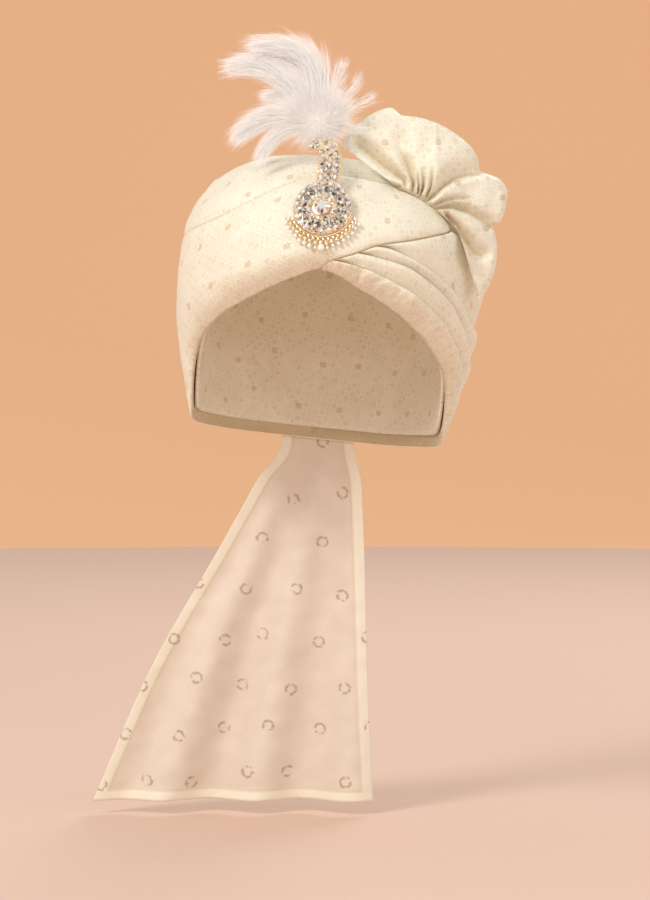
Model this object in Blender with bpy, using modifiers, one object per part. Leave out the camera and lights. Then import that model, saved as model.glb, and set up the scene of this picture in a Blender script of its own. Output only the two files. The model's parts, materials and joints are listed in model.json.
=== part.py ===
"""Tied turban pagri: wound brocade on a cloth crown, a gathered fan, a free tail, a stone brooch and a plume.

Metres, +Z up. The wearer looks along -Y. The origin is the middle of the opening where the head goes in.
An azimuth is measured in degrees from the front, positive towards +X. A level is a share of the way up the
outer surface: 0 at the opening's plane and 1 at the top.
"""

import math

import bmesh
import bpy
import numpy as np
from mathutils import Matrix, Vector

COLLECTION = "tied_turban_pagri"
CUTTERS = "cutters"

# Fit
LEAN = math.radians(6)  # the whole turban leans towards +X
GAP = 0.0006  # between pieces that touch
WIDE_GAP = 0.0009  # under the fan and the plume
CROWN_CLEARANCE = 0.0011  # between the crown cloth and what is wound on it

# The head's hollow
HEAD_HALF_WIDTH = 0.083
HEAD_FRONT = 0.097
HEAD_BACK = 0.101
HEAD_WIDEST_AT = 0.100
HEAD_RISE = 0.070
HEAD_TAPER = 0.036
DOME_FULLNESS = 2.25
PLAN_FULLNESS = 2.1

# Cloth
CROWN_WALL = 0.0025
WOUND_SIDE = 0.0157
WOUND_FRONT = 0.0167
WOUND_BACK = 0.0177
WOUND_TOP = 0.0087
WOUND_SHOULDER = 0.0067
WOUND_TAPER = 0.078
CROWN_TUCK = 0.008  # how far above the rim the crown cloth ends
CROWN_COLUMNS = 24
CROWN_ROWS = 8
CROWN_CROWDING = 1.25  # how much closer its rows stand towards the top
NARROWEST = 0.0022  # a wrap ends where it is this narrow

# Azimuths where wraps meet
STATION = 7.5
FRONT_END = 50.3
BACK_END = 135.0
FULL_TURN = 360.0

# Rim: azimuth, level, roll (metres up which the edge is rounded), how squarely it is rounded (2 is a circle)
RIM = [
    (-180.0, -0.050, 0.032, 1.6),
    (-150.0, -0.047, 0.040, 1.4),
    (-120.0, -0.035, 0.055, 1.2),
    (-97.0, -0.016, 0.062, 1.2),
    (-87.5, 0.065, 0.050, 1.3),
    (-81.3, 0.142, 0.036, 1.6),
    (-72.0, 0.208, 0.026, 1.9),
    (-57.2, 0.268, 0.018, 2.0),
    (-33.8, 0.346, 0.013, 2.0),
    (-14.3, 0.409, 0.011, 2.0),
    (-5.0, 0.434, 0.010, 2.0),
    (11.9, 0.391, 0.010, 2.0),
    (30.0, 0.336, 0.012, 2.0),
    (52.0, 0.252, 0.017, 2.0),
    (63.6, 0.204, 0.021, 2.0),
    (73.5, 0.152, 0.026, 1.9),
    (81.0, 0.092, 0.036, 1.6),
    (90.0, 0.004, 0.052, 1.3),
    (100.0, -0.022, 0.062, 1.2),
    (120.0, -0.035, 0.055, 1.2),
    (150.0, -0.047, 0.040, 1.4),
    (180.0, -0.050, 0.032, 1.6),
]

# Upper edge of the front wrap, round the left side to the back: azimuth, level
FRONT_WRAP_UPPER = [
    (-225.0, 0.409),
    (-217.0, 0.452),
    (-205.0, 0.488),
    (-180.0, 0.510),
    (-150.0, 0.500),
    (-120.0, 0.474),
    (-90.0, 0.465),
    (-70.0, 0.485),
    (-53.4, 0.518),
    (-35.3, 0.594),
    (-17.6, 0.675),
    (0.0, 0.712),
    (19.5, 0.702),
    (36.4, 0.655),
    (46.2, 0.601),
    (48.8, 0.580),
    (50.3, 0.565),
]

# Lower edge of the front wrap where it leaves the rim: azimuth, level
FRONT_WRAP_LOWER_FRONT = [
    (-5.0, 0.434),
    (1.9, 0.450),
    (8.7, 0.472),
    (14.2, 0.491),
    (30.3, 0.519),
    (43.8, 0.543),
    (48.8, 0.551),
    (50.3, 0.556),
]
FRONT_WRAP_LOWER_BACK = [
    (-225.0, 0.400),
    (-210.0, 0.305),
    (-195.0, 0.150),
    (-186.0, 0.040),
    (-178.0, -0.050),
]

# Creases between the wraps on the right: azimuth, level
SIDE_WRAP_UPPER = [(50.3, 0.556), (60.0, 0.522), (75.0, 0.482), (90.0, 0.455), (120.0, 0.422), (135.0, 0.400)]
PLEAT_UPPER_EDGE = [
    (8.0, 0.492),
    (17.5, 0.491),
    (26.5, 0.474),
    (38.3, 0.441),
    (48.1, 0.410),
    (58.3, 0.366),
    (69.8, 0.318),
    (90.0, 0.290),
    (120.0, 0.272),
    (150.0, 0.255),
    (180.0, 0.230),
]
PLEAT_LOWER_EDGE = [
    (2.0, 0.470),
    (7.5, 0.469),
    (18.9, 0.458),
    (26.9, 0.446),
    (36.8, 0.416),
    (49.3, 0.368),
    (58.6, 0.324),
    (67.8, 0.274),
    (78.0, 0.228),
    (90.0, 0.196),
    (120.0, 0.178),
    (150.0, 0.165),
    (180.0, 0.150),
]
RIM_WRAP_EDGE = [
    (-5.0, 0.455),
    (0.4, 0.445),
    (7.5, 0.435),
    (16.4, 0.418),
    (26.7, 0.393),
    (36.8, 0.360),
    (46.9, 0.318),
    (55.8, 0.280),
    (64.8, 0.240),
    (73.0, 0.202),
    (80.0, 0.158),
    (90.0, 0.096),
    (102.0, 0.070),
    (120.0, 0.060),
    (150.0, 0.052),
    (180.0, 0.050),
]

# Upper edge of the upper wrap, round the top: azimuth, level
TOP_EDGE = [(-180.0, 0.855), (-90.0, 0.835), (0.0, 0.862), (90.0, 0.840), (180.0, 0.855)]

# Fan: its gather on the front wrap's upper edge, and its size
FAN_AZIMUTH = 44.1
FAN_LEVEL = 0.606
FAN_RADIUS = 0.078
FAN_WALL = 0.0022
FAN_CLEARANCE = 0.0030
FAN_ROOT = (31.0, 51.6)  # azimuths between which it goes under the front wrap
FAN_ROOT_LIFT = (-0.0030, 0.0032)  # of its root over the wound surface, at the left and at the lowest fold
FAN_BACK_LEAN = 0.30  # how far it leans back for each metre that it rises
FAN_SIDE_LEAN = 0.62  # how far it turns back for each metre towards +X
FAN_ROWS = 6
FAN_ROW_SPREAD = 0.9  # under 1 crowds its rows towards its edge
FAN_SWELL = 0.8  # roundness of a fold across and along: 1 is a sine wave
FAN_ROOT_CURVE = 4  # how late along the root it starts to rise

# Edge of the fan round its gather, in the plane that faces the front: angle from +X, share of FAN_RADIUS
FAN_EDGE = [
    (-64.0, 0.825),
    (-52.0, 0.744),
    (-41.9, 0.675),
    (-28.6, 0.585),
    (-21.7, 0.541),
    (-12.3, 0.491),
    (-8.0, 0.541),
    (0.3, 0.576),
    (10.0, 0.608),
    (18.0, 0.636),
    (27.2, 0.616),
    (35.1, 0.559),
    (43.3, 0.519),
    (52.2, 0.579),
    (60.0, 0.620),
    (78.4, 0.693),
    (90.6, 0.753),
    (101.8, 0.815),
    (109.7, 0.866),
    (113.0, 0.953),
    (121.2, 0.979),
    (134.3, 0.988),
    (145.0, 0.970),
]

# Folds of the fan from the left to the lowest: end angle, lift, sections
FAN_FOLDS = [
    (137.0, 0.0060, 5),
    (128.0, 0.0045, 4),
    (111.5, 0.0060, 6),
    (84.0, 0.0070, 6),
    (54.0, 0.0075, 6),
    (43.0, 0.0040, 4),
    (16.0, 0.0065, 6),
    (-12.0, 0.0070, 6),
    (-40.0, 0.0070, 6),
    (-64.0, 0.0080, 6),
]

# Tail
TAIL_LENGTH = 0.258
TAIL_BOTTOM = -0.2715
TAIL_WALL = 0.0015
TAIL_COLUMNS = 18
TAIL_ROWS = 8
TAIL_FOLDS = 3.0
TAIL_FOLD_DEPTH = 0.009
TAIL_FLAT_EDGE = 1 / 3  # share of its width over which the folds fade to its left edge
TAIL_NECK = 0.12  # share of its length in which it spreads from its root
TAIL_ROOT = (195.0, 162.0)  # azimuths of its two edges at the rim

# Edges of the tail: share of its length down, left edge, right edge and distance back, as shares of its length
TAIL_EDGES = [
    (0.0, -0.093, 0.116, 0.000),
    (0.285, -0.253, 0.130, 0.060),
    (0.64, -0.457, 0.140, 0.105),
    (1.0, -0.617, 0.155, 0.147),
]

# Brooch: its place on the front wrap and the sizes of its rosette
BROOCH_AZIMUTH = -5.5
BROOCH_LEVEL = 0.571
BROOCH_LEAN = math.radians(24)
BROOCH_CLEARANCE = 0.0020  # from the wound surface, which the front wrap stands a little over
ROSETTE_RADIUS = 0.0188
PLATE = 0.0014
TIER_RADIUS = 0.0150
TIER = 0.0010
BEZEL_RADIUS = 0.0061
BEZEL_HEIGHT = 0.0016
BEZEL_WALL = 0.0009
POCKET_DEPTH = 0.0012
STONE_FIT = 0.0003
CENTRE_STONE_HEIGHT = 0.0032
STONE_SIDES = 8
STONE_TABLE = 0.6  # radius of a stone's table as a share of its girdle
STONE_SINK = 0.0003

# Rings of stones in the rosette: ring radius as a share of its radius, count, stone radius, height, on the tier
STONE_RINGS = [
    (0.895, 18, 0.0017, 0.0014, False),
    (0.655, 14, 0.0018, 0.0014, True),
    (0.440, 11, 0.0014, 0.0012, True),
]

# Stem of the brooch along its middle line: sideways, up and width, as shares of its height
STEM_HEIGHT = 0.048
STEM_LINE = [
    (0.048, 0.300, 0.290),
    (0.056, 0.448, 0.290),
    (0.070, 0.594, 0.292),
    (0.078, 0.725, 0.288),
    (0.052, 0.845, 0.255),
    (-0.008, 0.928, 0.210),
    (-0.084, 0.952, 0.165),
    (-0.155, 0.925, 0.125),
    (-0.212, 0.862, 0.090),
]
STEM_SECTIONS = 17
STEM_STONE = 0.0018
STEM_STONE_HEIGHT = 0.0013
STEM_STONE_PITCH = 0.0041
STEM_STONE_SPREAD = 2.15  # least pitch across the stem, in radii of a stone
STEM_STONE_SHARE = 0.44  # radius of the widest stone that fits a narrow stem, as a share of its width

# Fringe
RAIL_RADIUS = 0.0006
RAIL_FIT = 0.0004
FRINGE_START = 205.0
FRINGE_END = 335.0
DROPS = 11
DROP_LENGTH = 0.0068
DROP_FALL = 0.5  # how much the drops turn down from straight out
DROP_WIRE = 0.0004
PEARL_RADIUS = 0.0018
PEARL_SIDES = 10
PEARL_RINGS = 4
PIN_RADIUS = 0.0012
PIN_UP = 0.35  # place of the pin above the rosette's middle, as a share of its radius

# Plume: its foot on the upper wrap and its size
PLUME_AZIMUTH = -9.0
PLUME_LEVEL = 0.765
PLUME_HEIGHT = 0.069
PLUME_QUILL = 0.012
PLUME_QUILL_RADIUS = 0.0020
PLUME_TUFT = (0.34, 0.09, 0.28)  # half sizes of its tuft, as shares of its height
PLUME_TUFT_AT = (-0.09, -0.10, 0.30)  # middle of the tuft from the top of the quill, as shares of its height
LOCK_SIDES = 6
LOCK_SECTIONS = 7
LOCK_FLATNESS = 0.6
LOCK_ROOT_WIDTH = 0.7  # half width at its root, as a share of its widest
LOCK_BELLY = 1.7  # how much it swells in its middle
LOCK_TIP_TAPER = 0.85
LOCK_ROOT = 0.75  # where the locks start, from the quill to the middle of the tuft

# Locks of the plume from the top of its quill, as shares of its height: bend sideways, bend up, tip sideways,
# tip up, tip back, half width
PLUME_LOCKS = [
    (0.08, 1.06, -0.69, 0.99, 0.06, 0.095),
    (-0.04, 0.95, -0.64, 0.90, 0.12, 0.080),
    (-0.39, 0.84, -0.90, 0.79, 0.10, 0.090),
    (-0.33, 0.82, -0.83, 0.86, 0.16, 0.070),
    (-0.34, 0.56, -0.56, 0.52, 0.12, 0.070),
    (-0.56, 0.41, -0.82, 0.15, 0.02, 0.090),
    (-0.46, 0.26, -0.62, -0.05, -0.06, 0.070),
    (0.10, 0.55, 0.14, 0.82, 0.00, 0.060),
    (0.19, 0.45, 0.30, 0.68, -0.10, 0.055),
    (0.24, 0.38, 0.42, 0.50, -0.12, 0.055),
    (0.20, 0.20, 0.36, 0.20, -0.14, 0.050),
]

# Cross-sections of the wraps: share of the way up the wrap, lift over the wound surface
FRONT_PROFILE = [
    (0.0, -0.0035),
    (0.03, -0.0005),
    (0.10, 0.0010),
    (0.30, 0.0012),
    (0.52, 0.0005),
    (0.74, 0.0008),
    (0.90, 0.0014),
    (0.97, 0.0004),
    (1.0, -0.0030),
]
PLEAT_PROFILE = [
    (0.0, -0.0052),
    (0.18, -0.0036),
    (0.48, -0.0014),
    (0.80, 0.0008),
    (0.95, 0.0008),
    (1.0, -0.0025),
]
UPPER_PROFILE = [
    (0.0, -0.0065),
    (0.10, -0.0045),
    (0.28, -0.0010),
    (0.55, 0.0),
    (0.78, 0.0012),
    (0.92, 0.0016),
    (0.98, -0.0018),
    (1.0, -0.0065),
]
RIM_DEPTH = 0.15  # share of the wound thickness left at the very edge of the rim
INNER_ROWS_WIDE = 6
INNER_ROWS_DOMED = 7
INNER_ROWS_NARROW = 3


def through(rows, column=1):
    """A smooth function of the rows' first column that passes through another one and never overshoots."""
    table = np.array(rows, float)
    place, value = table[:, 0], table[:, column]
    step = np.diff(place)
    slope = np.diff(value) / step
    before, after = slope[:-1], slope[1:]
    same_way = before * after > 0
    middle = np.where(same_way, 2 * before * after / np.where(same_way, before + after, 1), 0)
    grade = np.concatenate([slope[:1], middle, slope[-1:]])

    def at(where):
        where = np.clip(where, place[0], place[-1])
        i = np.clip(np.searchsorted(place, where, side="right") - 1, 0, len(step) - 1)
        u = (where - place[i]) / step[i]
        ends = (1 - 3 * u**2 + 2 * u**3) * value[i] + (3 * u**2 - 2 * u**3) * value[i + 1]
        return ends + step[i] * (grade[i] * (u - 2 * u**2 + u**3) + grade[i + 1] * (u**3 - u**2))

    return at


class Dome:
    """A head-like surface, a rounded oval in plan, nearly upright to its widest height and domed above."""

    def __init__(self, half_width, front, back, widest_at, rise, taper):
        self.half_width = half_width
        self.front = front
        self.back = back
        self.widest_at = widest_at
        self.rise = rise
        self.taper = taper

    def grown(self, side, front, back, shoulder, top, taper):
        return Dome(
            self.half_width + side,
            self.front + front,
            self.back + back,
            self.widest_at + shoulder,
            self.rise - shoulder + top,
            taper,
        )

    def top(self):
        return self.widest_at + self.rise

    def share(self, height):
        """The width at a height, as a share of the widest."""
        over = np.clip((height - self.widest_at) / self.rise, 0, 1)
        under = np.clip((self.widest_at - height) / self.widest_at, 0, None)
        return (1 - over**DOME_FULLNESS) ** (1 / DOME_FULLNESS) * (1 - self.taper * under**1.5)

    def point(self, azimuth, height):
        angle = np.radians(azimuth)
        sine, cosine = np.sin(angle), np.cos(angle)
        power = 2 / PLAN_FULLNESS
        share = self.share(height)
        depth = np.where(cosine > 0, self.front, self.back)
        x = self.half_width * share * np.sign(sine) * np.abs(sine) ** power
        y = -depth * share * np.sign(cosine) * np.abs(cosine) ** power
        return np.stack(np.broadcast_arrays(x, y, height), axis=-1)

    def front_face(self, x, height):
        """Y of the front surface at a side position and height."""
        share = np.maximum(self.share(height), 1e-6)
        across = np.clip(np.abs(x) / (self.half_width * share), 0, 1)
        return -self.front * share * (1 - across**PLAN_FULLNESS) ** (1 / PLAN_FULLNESS)


def leaned(points):
    """Turns points of the upright body about the origin to the turban's lean."""
    x, y, z = points[..., 0], points[..., 1], points[..., 2]
    side, up = math.sin(LEAN), math.cos(LEAN)
    return np.stack([x * up + z * side, y, z * up - x * side], axis=-1)


def unleaned(x, z):
    side, up = math.sin(LEAN), math.cos(LEAN)
    return x * up - z * side, x * side + z * up


HOLLOW = Dome(HEAD_HALF_WIDTH, HEAD_FRONT, HEAD_BACK, HEAD_WIDEST_AT, HEAD_RISE, HEAD_TAPER)
CROWN = HOLLOW.grown(CROWN_WALL, CROWN_WALL, CROWN_WALL, 0, CROWN_WALL, HEAD_TAPER)
SEAT = CROWN.grown(CROWN_CLEARANCE, CROWN_CLEARANCE, CROWN_CLEARANCE, 0, CROWN_CLEARANCE, HEAD_TAPER)
OUTER = SEAT.grown(WOUND_SIDE, WOUND_FRONT, WOUND_BACK, WOUND_SHOULDER, WOUND_TOP, WOUND_TAPER)


def outer_arc():
    """Heights up the outer surface with their lengths of arc from the opening's plane."""
    low = np.linspace(-0.2 * OUTER.widest_at, OUTER.widest_at, 200)[:-1]
    high = OUTER.widest_at + OUTER.rise * np.sin(np.linspace(0, np.pi / 2, 400))
    height = np.concatenate([low, high])
    width = OUTER.half_width * OUTER.share(height)
    arc = np.concatenate([[0], np.cumsum(np.hypot(np.diff(height), np.diff(width)))])
    return height, arc - np.interp(0, height, arc)


ARC_HEIGHTS, ARC_LENGTHS = outer_arc()
ARC = ARC_LENGTHS[-1]
rim_level = through(RIM)
rim_roll = through(RIM, 2)
rim_squareness = through(RIM, 3)


def height_at(level):
    return np.interp(np.asarray(level) * ARC, ARC_LENGTHS, ARC_HEIGHTS)


def fullness(azimuth, level):
    """The wound thickness at a place as a share of its full thickness: it rounds off to the rim."""
    above = np.clip((level - rim_level(azimuth)) * ARC / rim_roll(azimuth), 0, 1)
    power = rim_squareness(azimuth)
    return RIM_DEPTH + (1 - RIM_DEPTH) * (1 - (1 - above) ** power) ** (1 / power)


def inner_skin(azimuth, level):
    return SEAT.point(azimuth, height_at(level) * SEAT.top() / OUTER.top())


def outer_skin(azimuth, level, lift):
    inner = inner_skin(azimuth, level)
    through_wall = OUTER.point(azimuth, height_at(level)) - inner
    thickness = np.linalg.norm(through_wall, axis=-1, keepdims=True)
    depth = fullness(azimuth, level)[..., None] * thickness + np.asarray(lift)[..., None]
    return inner + through_wall / thickness * np.maximum(depth, RIM_DEPTH * thickness)


def front_y(x, z):
    """Y of the wound body's front surface behind a point of the leaned frame."""
    return OUTER.front_face(*unleaned(x, z))


def wrap_angle(azimuth):
    """The same azimuth between -180 and 180."""
    return (azimuth + 180) % FULL_TURN - 180


LEAVES_RIM = FRONT_WRAP_LOWER_FRONT[0][0]
BACK_LEAVES_RIM = FRONT_WRAP_LOWER_BACK[-1][0]
REGULAR = np.arange(BACK_END - FULL_TURN, 180 + 2 * STATION, STATION)
GRID = np.array(sorted({*REGULAR.tolist(), LEAVES_RIM, FRONT_END}))


def on_grid(curve):
    """The same curve, straight between the azimuths at which every wrap has a section."""
    levels = np.array([float(curve(azimuth)) for azimuth in GRID])
    return lambda azimuth: np.interp(azimuth, GRID, levels)


front_upper = on_grid(through(FRONT_WRAP_UPPER))
front_lower_front = through(FRONT_WRAP_LOWER_FRONT)
front_lower_back = through(FRONT_WRAP_LOWER_BACK)
side_upper = on_grid(through(SIDE_WRAP_UPPER))
top_edge = on_grid(through(TOP_EDGE))
rim_on_grid = on_grid(lambda azimuth: rim_level(wrap_angle(azimuth)))


def front_lower_curve(azimuth):
    """Lower edge of the front wrap, for azimuths from BACK_END - 360 to FRONT_END."""
    if azimuth > LEAVES_RIM:
        return front_lower_front(azimuth)
    if azimuth < BACK_LEAVES_RIM:
        return front_lower_back(azimuth)
    return rim_level(wrap_angle(azimuth))


front_lower = on_grid(front_lower_curve)


def covered_above(azimuth):
    """The level over which the front wrap hides the wraps on the right."""
    if azimuth < FRONT_END:
        return front_lower(azimuth)
    if azimuth > BACK_END:
        return front_lower(azimuth - FULL_TURN)
    return side_upper(azimuth)


def upper_wrap_lower(azimuth):
    if azimuth <= FRONT_END:
        return front_upper(azimuth)
    if azimuth >= BACK_END:
        return front_upper(azimuth - FULL_TURN)
    return side_upper(azimuth)


def new_material(name, colour, roughness, metallic=0.0):
    material = bpy.data.materials.new(name)
    material.use_nodes = True
    shader = material.node_tree.nodes["Principled BSDF"]
    shader.inputs["Base Color"].default_value = (*colour, 1)
    shader.inputs["Roughness"].default_value = roughness
    shader.inputs["Metallic"].default_value = metallic
    return material


def add_mesh(name, mesh, material, matrix=None, collection=COLLECTION):
    """Adds a mesh to a collection as an object, shaded smooth with its sharp edges kept."""
    body = bpy.data.objects.new(name, mesh)
    bpy.data.collections[collection].objects.link(body)
    if matrix is not None:
        body.matrix_world = matrix
    mesh.materials.append(material)
    mesh.shade_smooth()
    mesh.set_sharp_from_angle(angle=math.radians(40))
    return body


def mesh_from(name, build):
    """A mesh filled by a function that is given an empty bmesh."""
    work = bmesh.new()
    build(work)
    bmesh.ops.recalc_face_normals(work, faces=work.faces)
    mesh = bpy.data.meshes.new(name)
    work.to_mesh(mesh)
    work.free()
    return mesh


def loft(name, rings, closed=False):
    """A closed mesh through rings of as many points each, capped at its ends unless it meets itself."""

    def build(work):
        loops = [[work.verts.new(point) for point in ring] for ring in rings]
        pairs = list(zip(loops, loops[1:]))
        if closed:
            pairs.append((loops[-1], loops[0]))
        for one, other in pairs:
            for i in range(len(one)):
                j = (i + 1) % len(one)
                work.faces.new((one[i], one[j], other[j], other[i]))
        if not closed:
            work.faces.new(loops[0])
            work.faces.new(reversed(loops[-1]))

    return mesh_from(name, build)


def band_ring(azimuth, low, high, profile, inner_rows):
    """One section of a wrap: up its outer face from the lower edge, and back down along the crown."""
    margin = GAP / 2 / ARC
    low, high = low + margin, high - margin
    rows = np.array(profile)
    outer_level = low + (high - low) * rows[:, 0]
    outer = outer_skin(azimuth, outer_level, rows[:, 1])
    inner_level = np.linspace(high, low, inner_rows)
    inner = inner_skin(azimuth, inner_level)
    return leaned(np.concatenate([outer, inner]))


def width_of(azimuth, lower, upper):
    return (upper(azimuth) - lower(azimuth)) * ARC


def crossing(lower, upper, wide, narrow):
    """The azimuth between a wide place and a narrow one where a wrap is at its narrowest."""
    for _ in range(40):
        middle = (wide + narrow) / 2
        if width_of(middle, lower, upper) > NARROWEST:
            wide = middle
        else:
            narrow = middle
    return wide


def stations(start, end):
    """Azimuths from one end to the other, with every shared one between them."""
    inside = GRID[(GRID > start + 0.5) & (GRID < end - 0.5)]
    return [start, *inside.tolist(), end]


def make_crown_cloth(cloth):
    """The cap of cloth under the wraps: an open dome with a wall."""
    rows = np.linspace(0, 1, CROWN_ROWS + 1)[:-1]

    def build(work):
        rings = []
        for row in rows:
            ring = []
            for column in range(CROWN_COLUMNS):
                azimuth = wrap_angle(column * FULL_TURN / CROWN_COLUMNS)
                low = rim_level(azimuth) + CROWN_TUCK / ARC
                level = low + (1 - low) * (1 - (1 - row) ** CROWN_CROWDING)
                height = height_at(level) * CROWN.top() / OUTER.top()
                ring.append(work.verts.new(leaned(CROWN.point(azimuth, height))))
            rings.append(ring)
        top = work.verts.new(leaned(np.array([0.0, 0.0, CROWN.top()])))
        for one, other in zip(rings, rings[1:]):
            for i in range(CROWN_COLUMNS):
                j = (i + 1) % CROWN_COLUMNS
                work.faces.new((one[i], one[j], other[j], other[i]))
        for i in range(CROWN_COLUMNS):
            work.faces.new((rings[-1][i], rings[-1][(i + 1) % CROWN_COLUMNS], top))

    crown = add_mesh("crown_cloth", mesh_from("crown_cloth", build), cloth)
    wall = crown.modifiers.new("wall", "SOLIDIFY")
    wall.thickness = CROWN_WALL
    wall.offset = -1


def make_front_wrap(cloth):
    places = stations(BACK_END - FULL_TURN, FRONT_END)
    rings = [
        band_ring(wrap_angle(a), front_lower(a), front_upper(a), FRONT_PROFILE, INNER_ROWS_WIDE)
        for a in places
    ]
    add_mesh("front_wrap", loft("front_wrap", rings), cloth)


def make_upper_wrap(cloth):
    places = stations(-180, 180 - STATION)
    rings = [
        band_ring(a, upper_wrap_lower(a), top_edge(a), UPPER_PROFILE, INNER_ROWS_DOMED) for a in places
    ]
    add_mesh("upper_wrap", loft("upper_wrap", rings, closed=True), cloth)


def make_right_wrap(name, lower, edge, widest_at, cloth):
    """A wrap on the right, between two creases, that goes under the front wrap at both its ends."""

    def upper(azimuth):
        return min(edge(azimuth), covered_above(azimuth))

    start = crossing(lower, upper, widest_at, LEAVES_RIM)
    end = crossing(lower, upper, widest_at, BACK_LEAVES_RIM + FULL_TURN)
    rings = [
        band_ring(a, lower(a), upper(a), PLEAT_PROFILE, INNER_ROWS_NARROW)
        for a in stations(start, end)
    ]
    add_mesh(name, loft(name, rings), cloth)


def make_wraps(cloth):
    make_front_wrap(cloth)
    make_upper_wrap(cloth)
    pleat_upper, pleat_lower = on_grid(through(PLEAT_UPPER_EDGE)), on_grid(through(PLEAT_LOWER_EDGE))
    rim_edge = on_grid(through(RIM_WRAP_EDGE))
    make_right_wrap("side_wrap", pleat_upper, covered_above, FRONT_END, cloth)
    make_right_wrap("pleat_upper", pleat_lower, pleat_upper, FRONT_END, cloth)
    make_right_wrap("pleat_lower", rim_edge, pleat_lower, FRONT_END, cloth)
    make_right_wrap("rim_wrap", rim_on_grid, rim_edge, FRONT_END, cloth)


def fan_sections():
    """Angle and lift of each section of the fan: a fold swells between its two creases."""
    start = FAN_EDGE[-1][0]
    rows = [(start, 0.0)]
    for end, lift, count in FAN_FOLDS:
        for step in range(1, count + 1):
            share = step / count
            rows.append((start + (end - start) * share, lift * math.sin(math.pi * share) ** FAN_SWELL))
        start = end
    return rows


def make_fan(cloth):
    """The gathered fan: a pleated sheet from the front wrap's upper edge to a lobed edge."""
    gather = leaned(outer_skin(FAN_AZIMUTH, FAN_LEVEL, 0.0))
    edge = through(FAN_EDGE)
    first, last = FAN_EDGE[-1][0], FAN_EDGE[0][0]
    reach = np.linspace(0, 1, FAN_ROWS) ** FAN_ROW_SPREAD
    rings = []
    for angle, lift in fan_sections():
        along = (first - angle) / (first - last)
        azimuth = FAN_ROOT[0] + (FAN_ROOT[1] - FAN_ROOT[0]) * along
        level = front_upper(azimuth) + WIDE_GAP / ARC
        root_lift = FAN_ROOT_LIFT[0] + (FAN_ROOT_LIFT[1] - FAN_ROOT_LIFT[0]) * along**FAN_ROOT_CURVE
        root = leaned(outer_skin(azimuth, level, root_lift))
        radius = FAN_RADIUS * edge(angle)
        turn = math.radians(angle)
        x = root[0] + (gather[0] + radius * math.cos(turn) - root[0]) * reach
        z = root[2] + (gather[2] + radius * math.sin(turn) - root[2]) * reach
        leaning_back = FAN_BACK_LEAN * (z - gather[2]).clip(0) + FAN_SIDE_LEAN * (x - gather[0]).clip(0)
        free = gather[1] + leaning_back
        back = np.minimum(free, front_y(x, z) - FAN_CLEARANCE) - lift * reach**FAN_SWELL
        back[0] = root[1]
        front_face = np.stack([x, back - FAN_WALL, z], 1)
        front_face[0] = leaned(outer_skin(azimuth, level, root_lift + FAN_WALL))
        rings.append(np.concatenate([front_face, np.stack([x, back, z], 1)[::-1]]))
    add_mesh("fan", loft("fan", rings), cloth)


def rim_seat(azimuth):
    """Middle of the rim's thin edge at an azimuth."""
    level = rim_on_grid(azimuth)
    share = RIM_DEPTH / 2
    return leaned((1 - share) * inner_skin(azimuth, level) + share * OUTER.point(azimuth, height_at(level)))


def make_tail(cloth):
    """The free end of the cloth: a sheet that hangs from the nape and spreads to the left."""
    left, right, back = (through(TAIL_EDGES, column) for column in (1, 2, 3))

    def build(work):
        rows = []
        for row in np.linspace(0, 1, TAIL_ROWS + 1):
            points = []
            for column in np.linspace(0, 1, TAIL_COLUMNS + 1):
                azimuth = TAIL_ROOT[0] + (TAIL_ROOT[1] - TAIL_ROOT[0]) * column
                seat = rim_seat(azimuth)
                top = seat[2] - GAP
                spread = (left(row) * (1 - column) + right(row) * column) * TAIL_LENGTH
                fold = math.sin(2 * math.pi * TAIL_FOLDS * column) * TAIL_FOLD_DEPTH * row
                fold *= math.sin(math.pi / 2 * min(column / TAIL_FLAT_EDGE, 1))
                x = seat[0] + (spread - seat[0]) * smooth_step(row / TAIL_NECK)
                y = seat[1] + back(row) * TAIL_LENGTH + fold
                points.append(work.verts.new((x, y, top + (TAIL_BOTTOM - top) * row)))
            rows.append(points)
        for one, other in zip(rows, rows[1:]):
            for i in range(TAIL_COLUMNS):
                work.faces.new((one[i], one[i + 1], other[i + 1], other[i]))

    tail = add_mesh("tail", mesh_from("tail", build), cloth)
    wall = tail.modifiers.new("wall", "SOLIDIFY")
    wall.thickness = TAIL_WALL
    wall.offset = 0


def smooth_step(share):
    share = min(max(share, 0), 1)
    return share * share * (3 - 2 * share)


def brooch_frame():
    """Place of the brooch: X to its right, Y up along it, Z out of the wrap, seated clear of the wrap."""
    turn = math.radians(BROOCH_AZIMUTH)
    lean_out, lean_up = math.cos(BROOCH_LEAN), math.sin(BROOCH_LEAN)
    out = Vector((math.sin(turn) * lean_out, -math.cos(turn) * lean_out, lean_up))
    up = (Vector((0, 0, 1)) - out * out.z).normalized()
    axes = Matrix((up.cross(out), up, out)).transposed().to_4x4()
    middle = Vector(leaned(outer_skin(BROOCH_AZIMUTH, BROOCH_LEVEL, 0.0)))
    rim = [Vector((math.cos(a), math.sin(a), 0)) * ROSETTE_RADIUS for a in np.linspace(0, 2 * math.pi, 24)]
    for _ in range(4):
        frame = Matrix.Translation(middle) @ axes
        deepest = max(behind(frame @ point) for point in rim)
        middle += out * deepest / -out.y
    return Matrix.Translation(middle) @ axes


def behind(point):
    """How far a point lies behind where a piece that rests on the wrap may be."""
    return point.y - (float(front_y(point.x, point.z)) - BROOCH_CLEARANCE)


def resting_depth(frame, x, y, radius):
    """Local Z at which a bead of the brooch's frame rests on the wrap."""
    z = 0.0
    for _ in range(5):
        z += (behind(frame @ Vector((x, y, z))) + radius) / -frame.col[2].y
    return z


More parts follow.
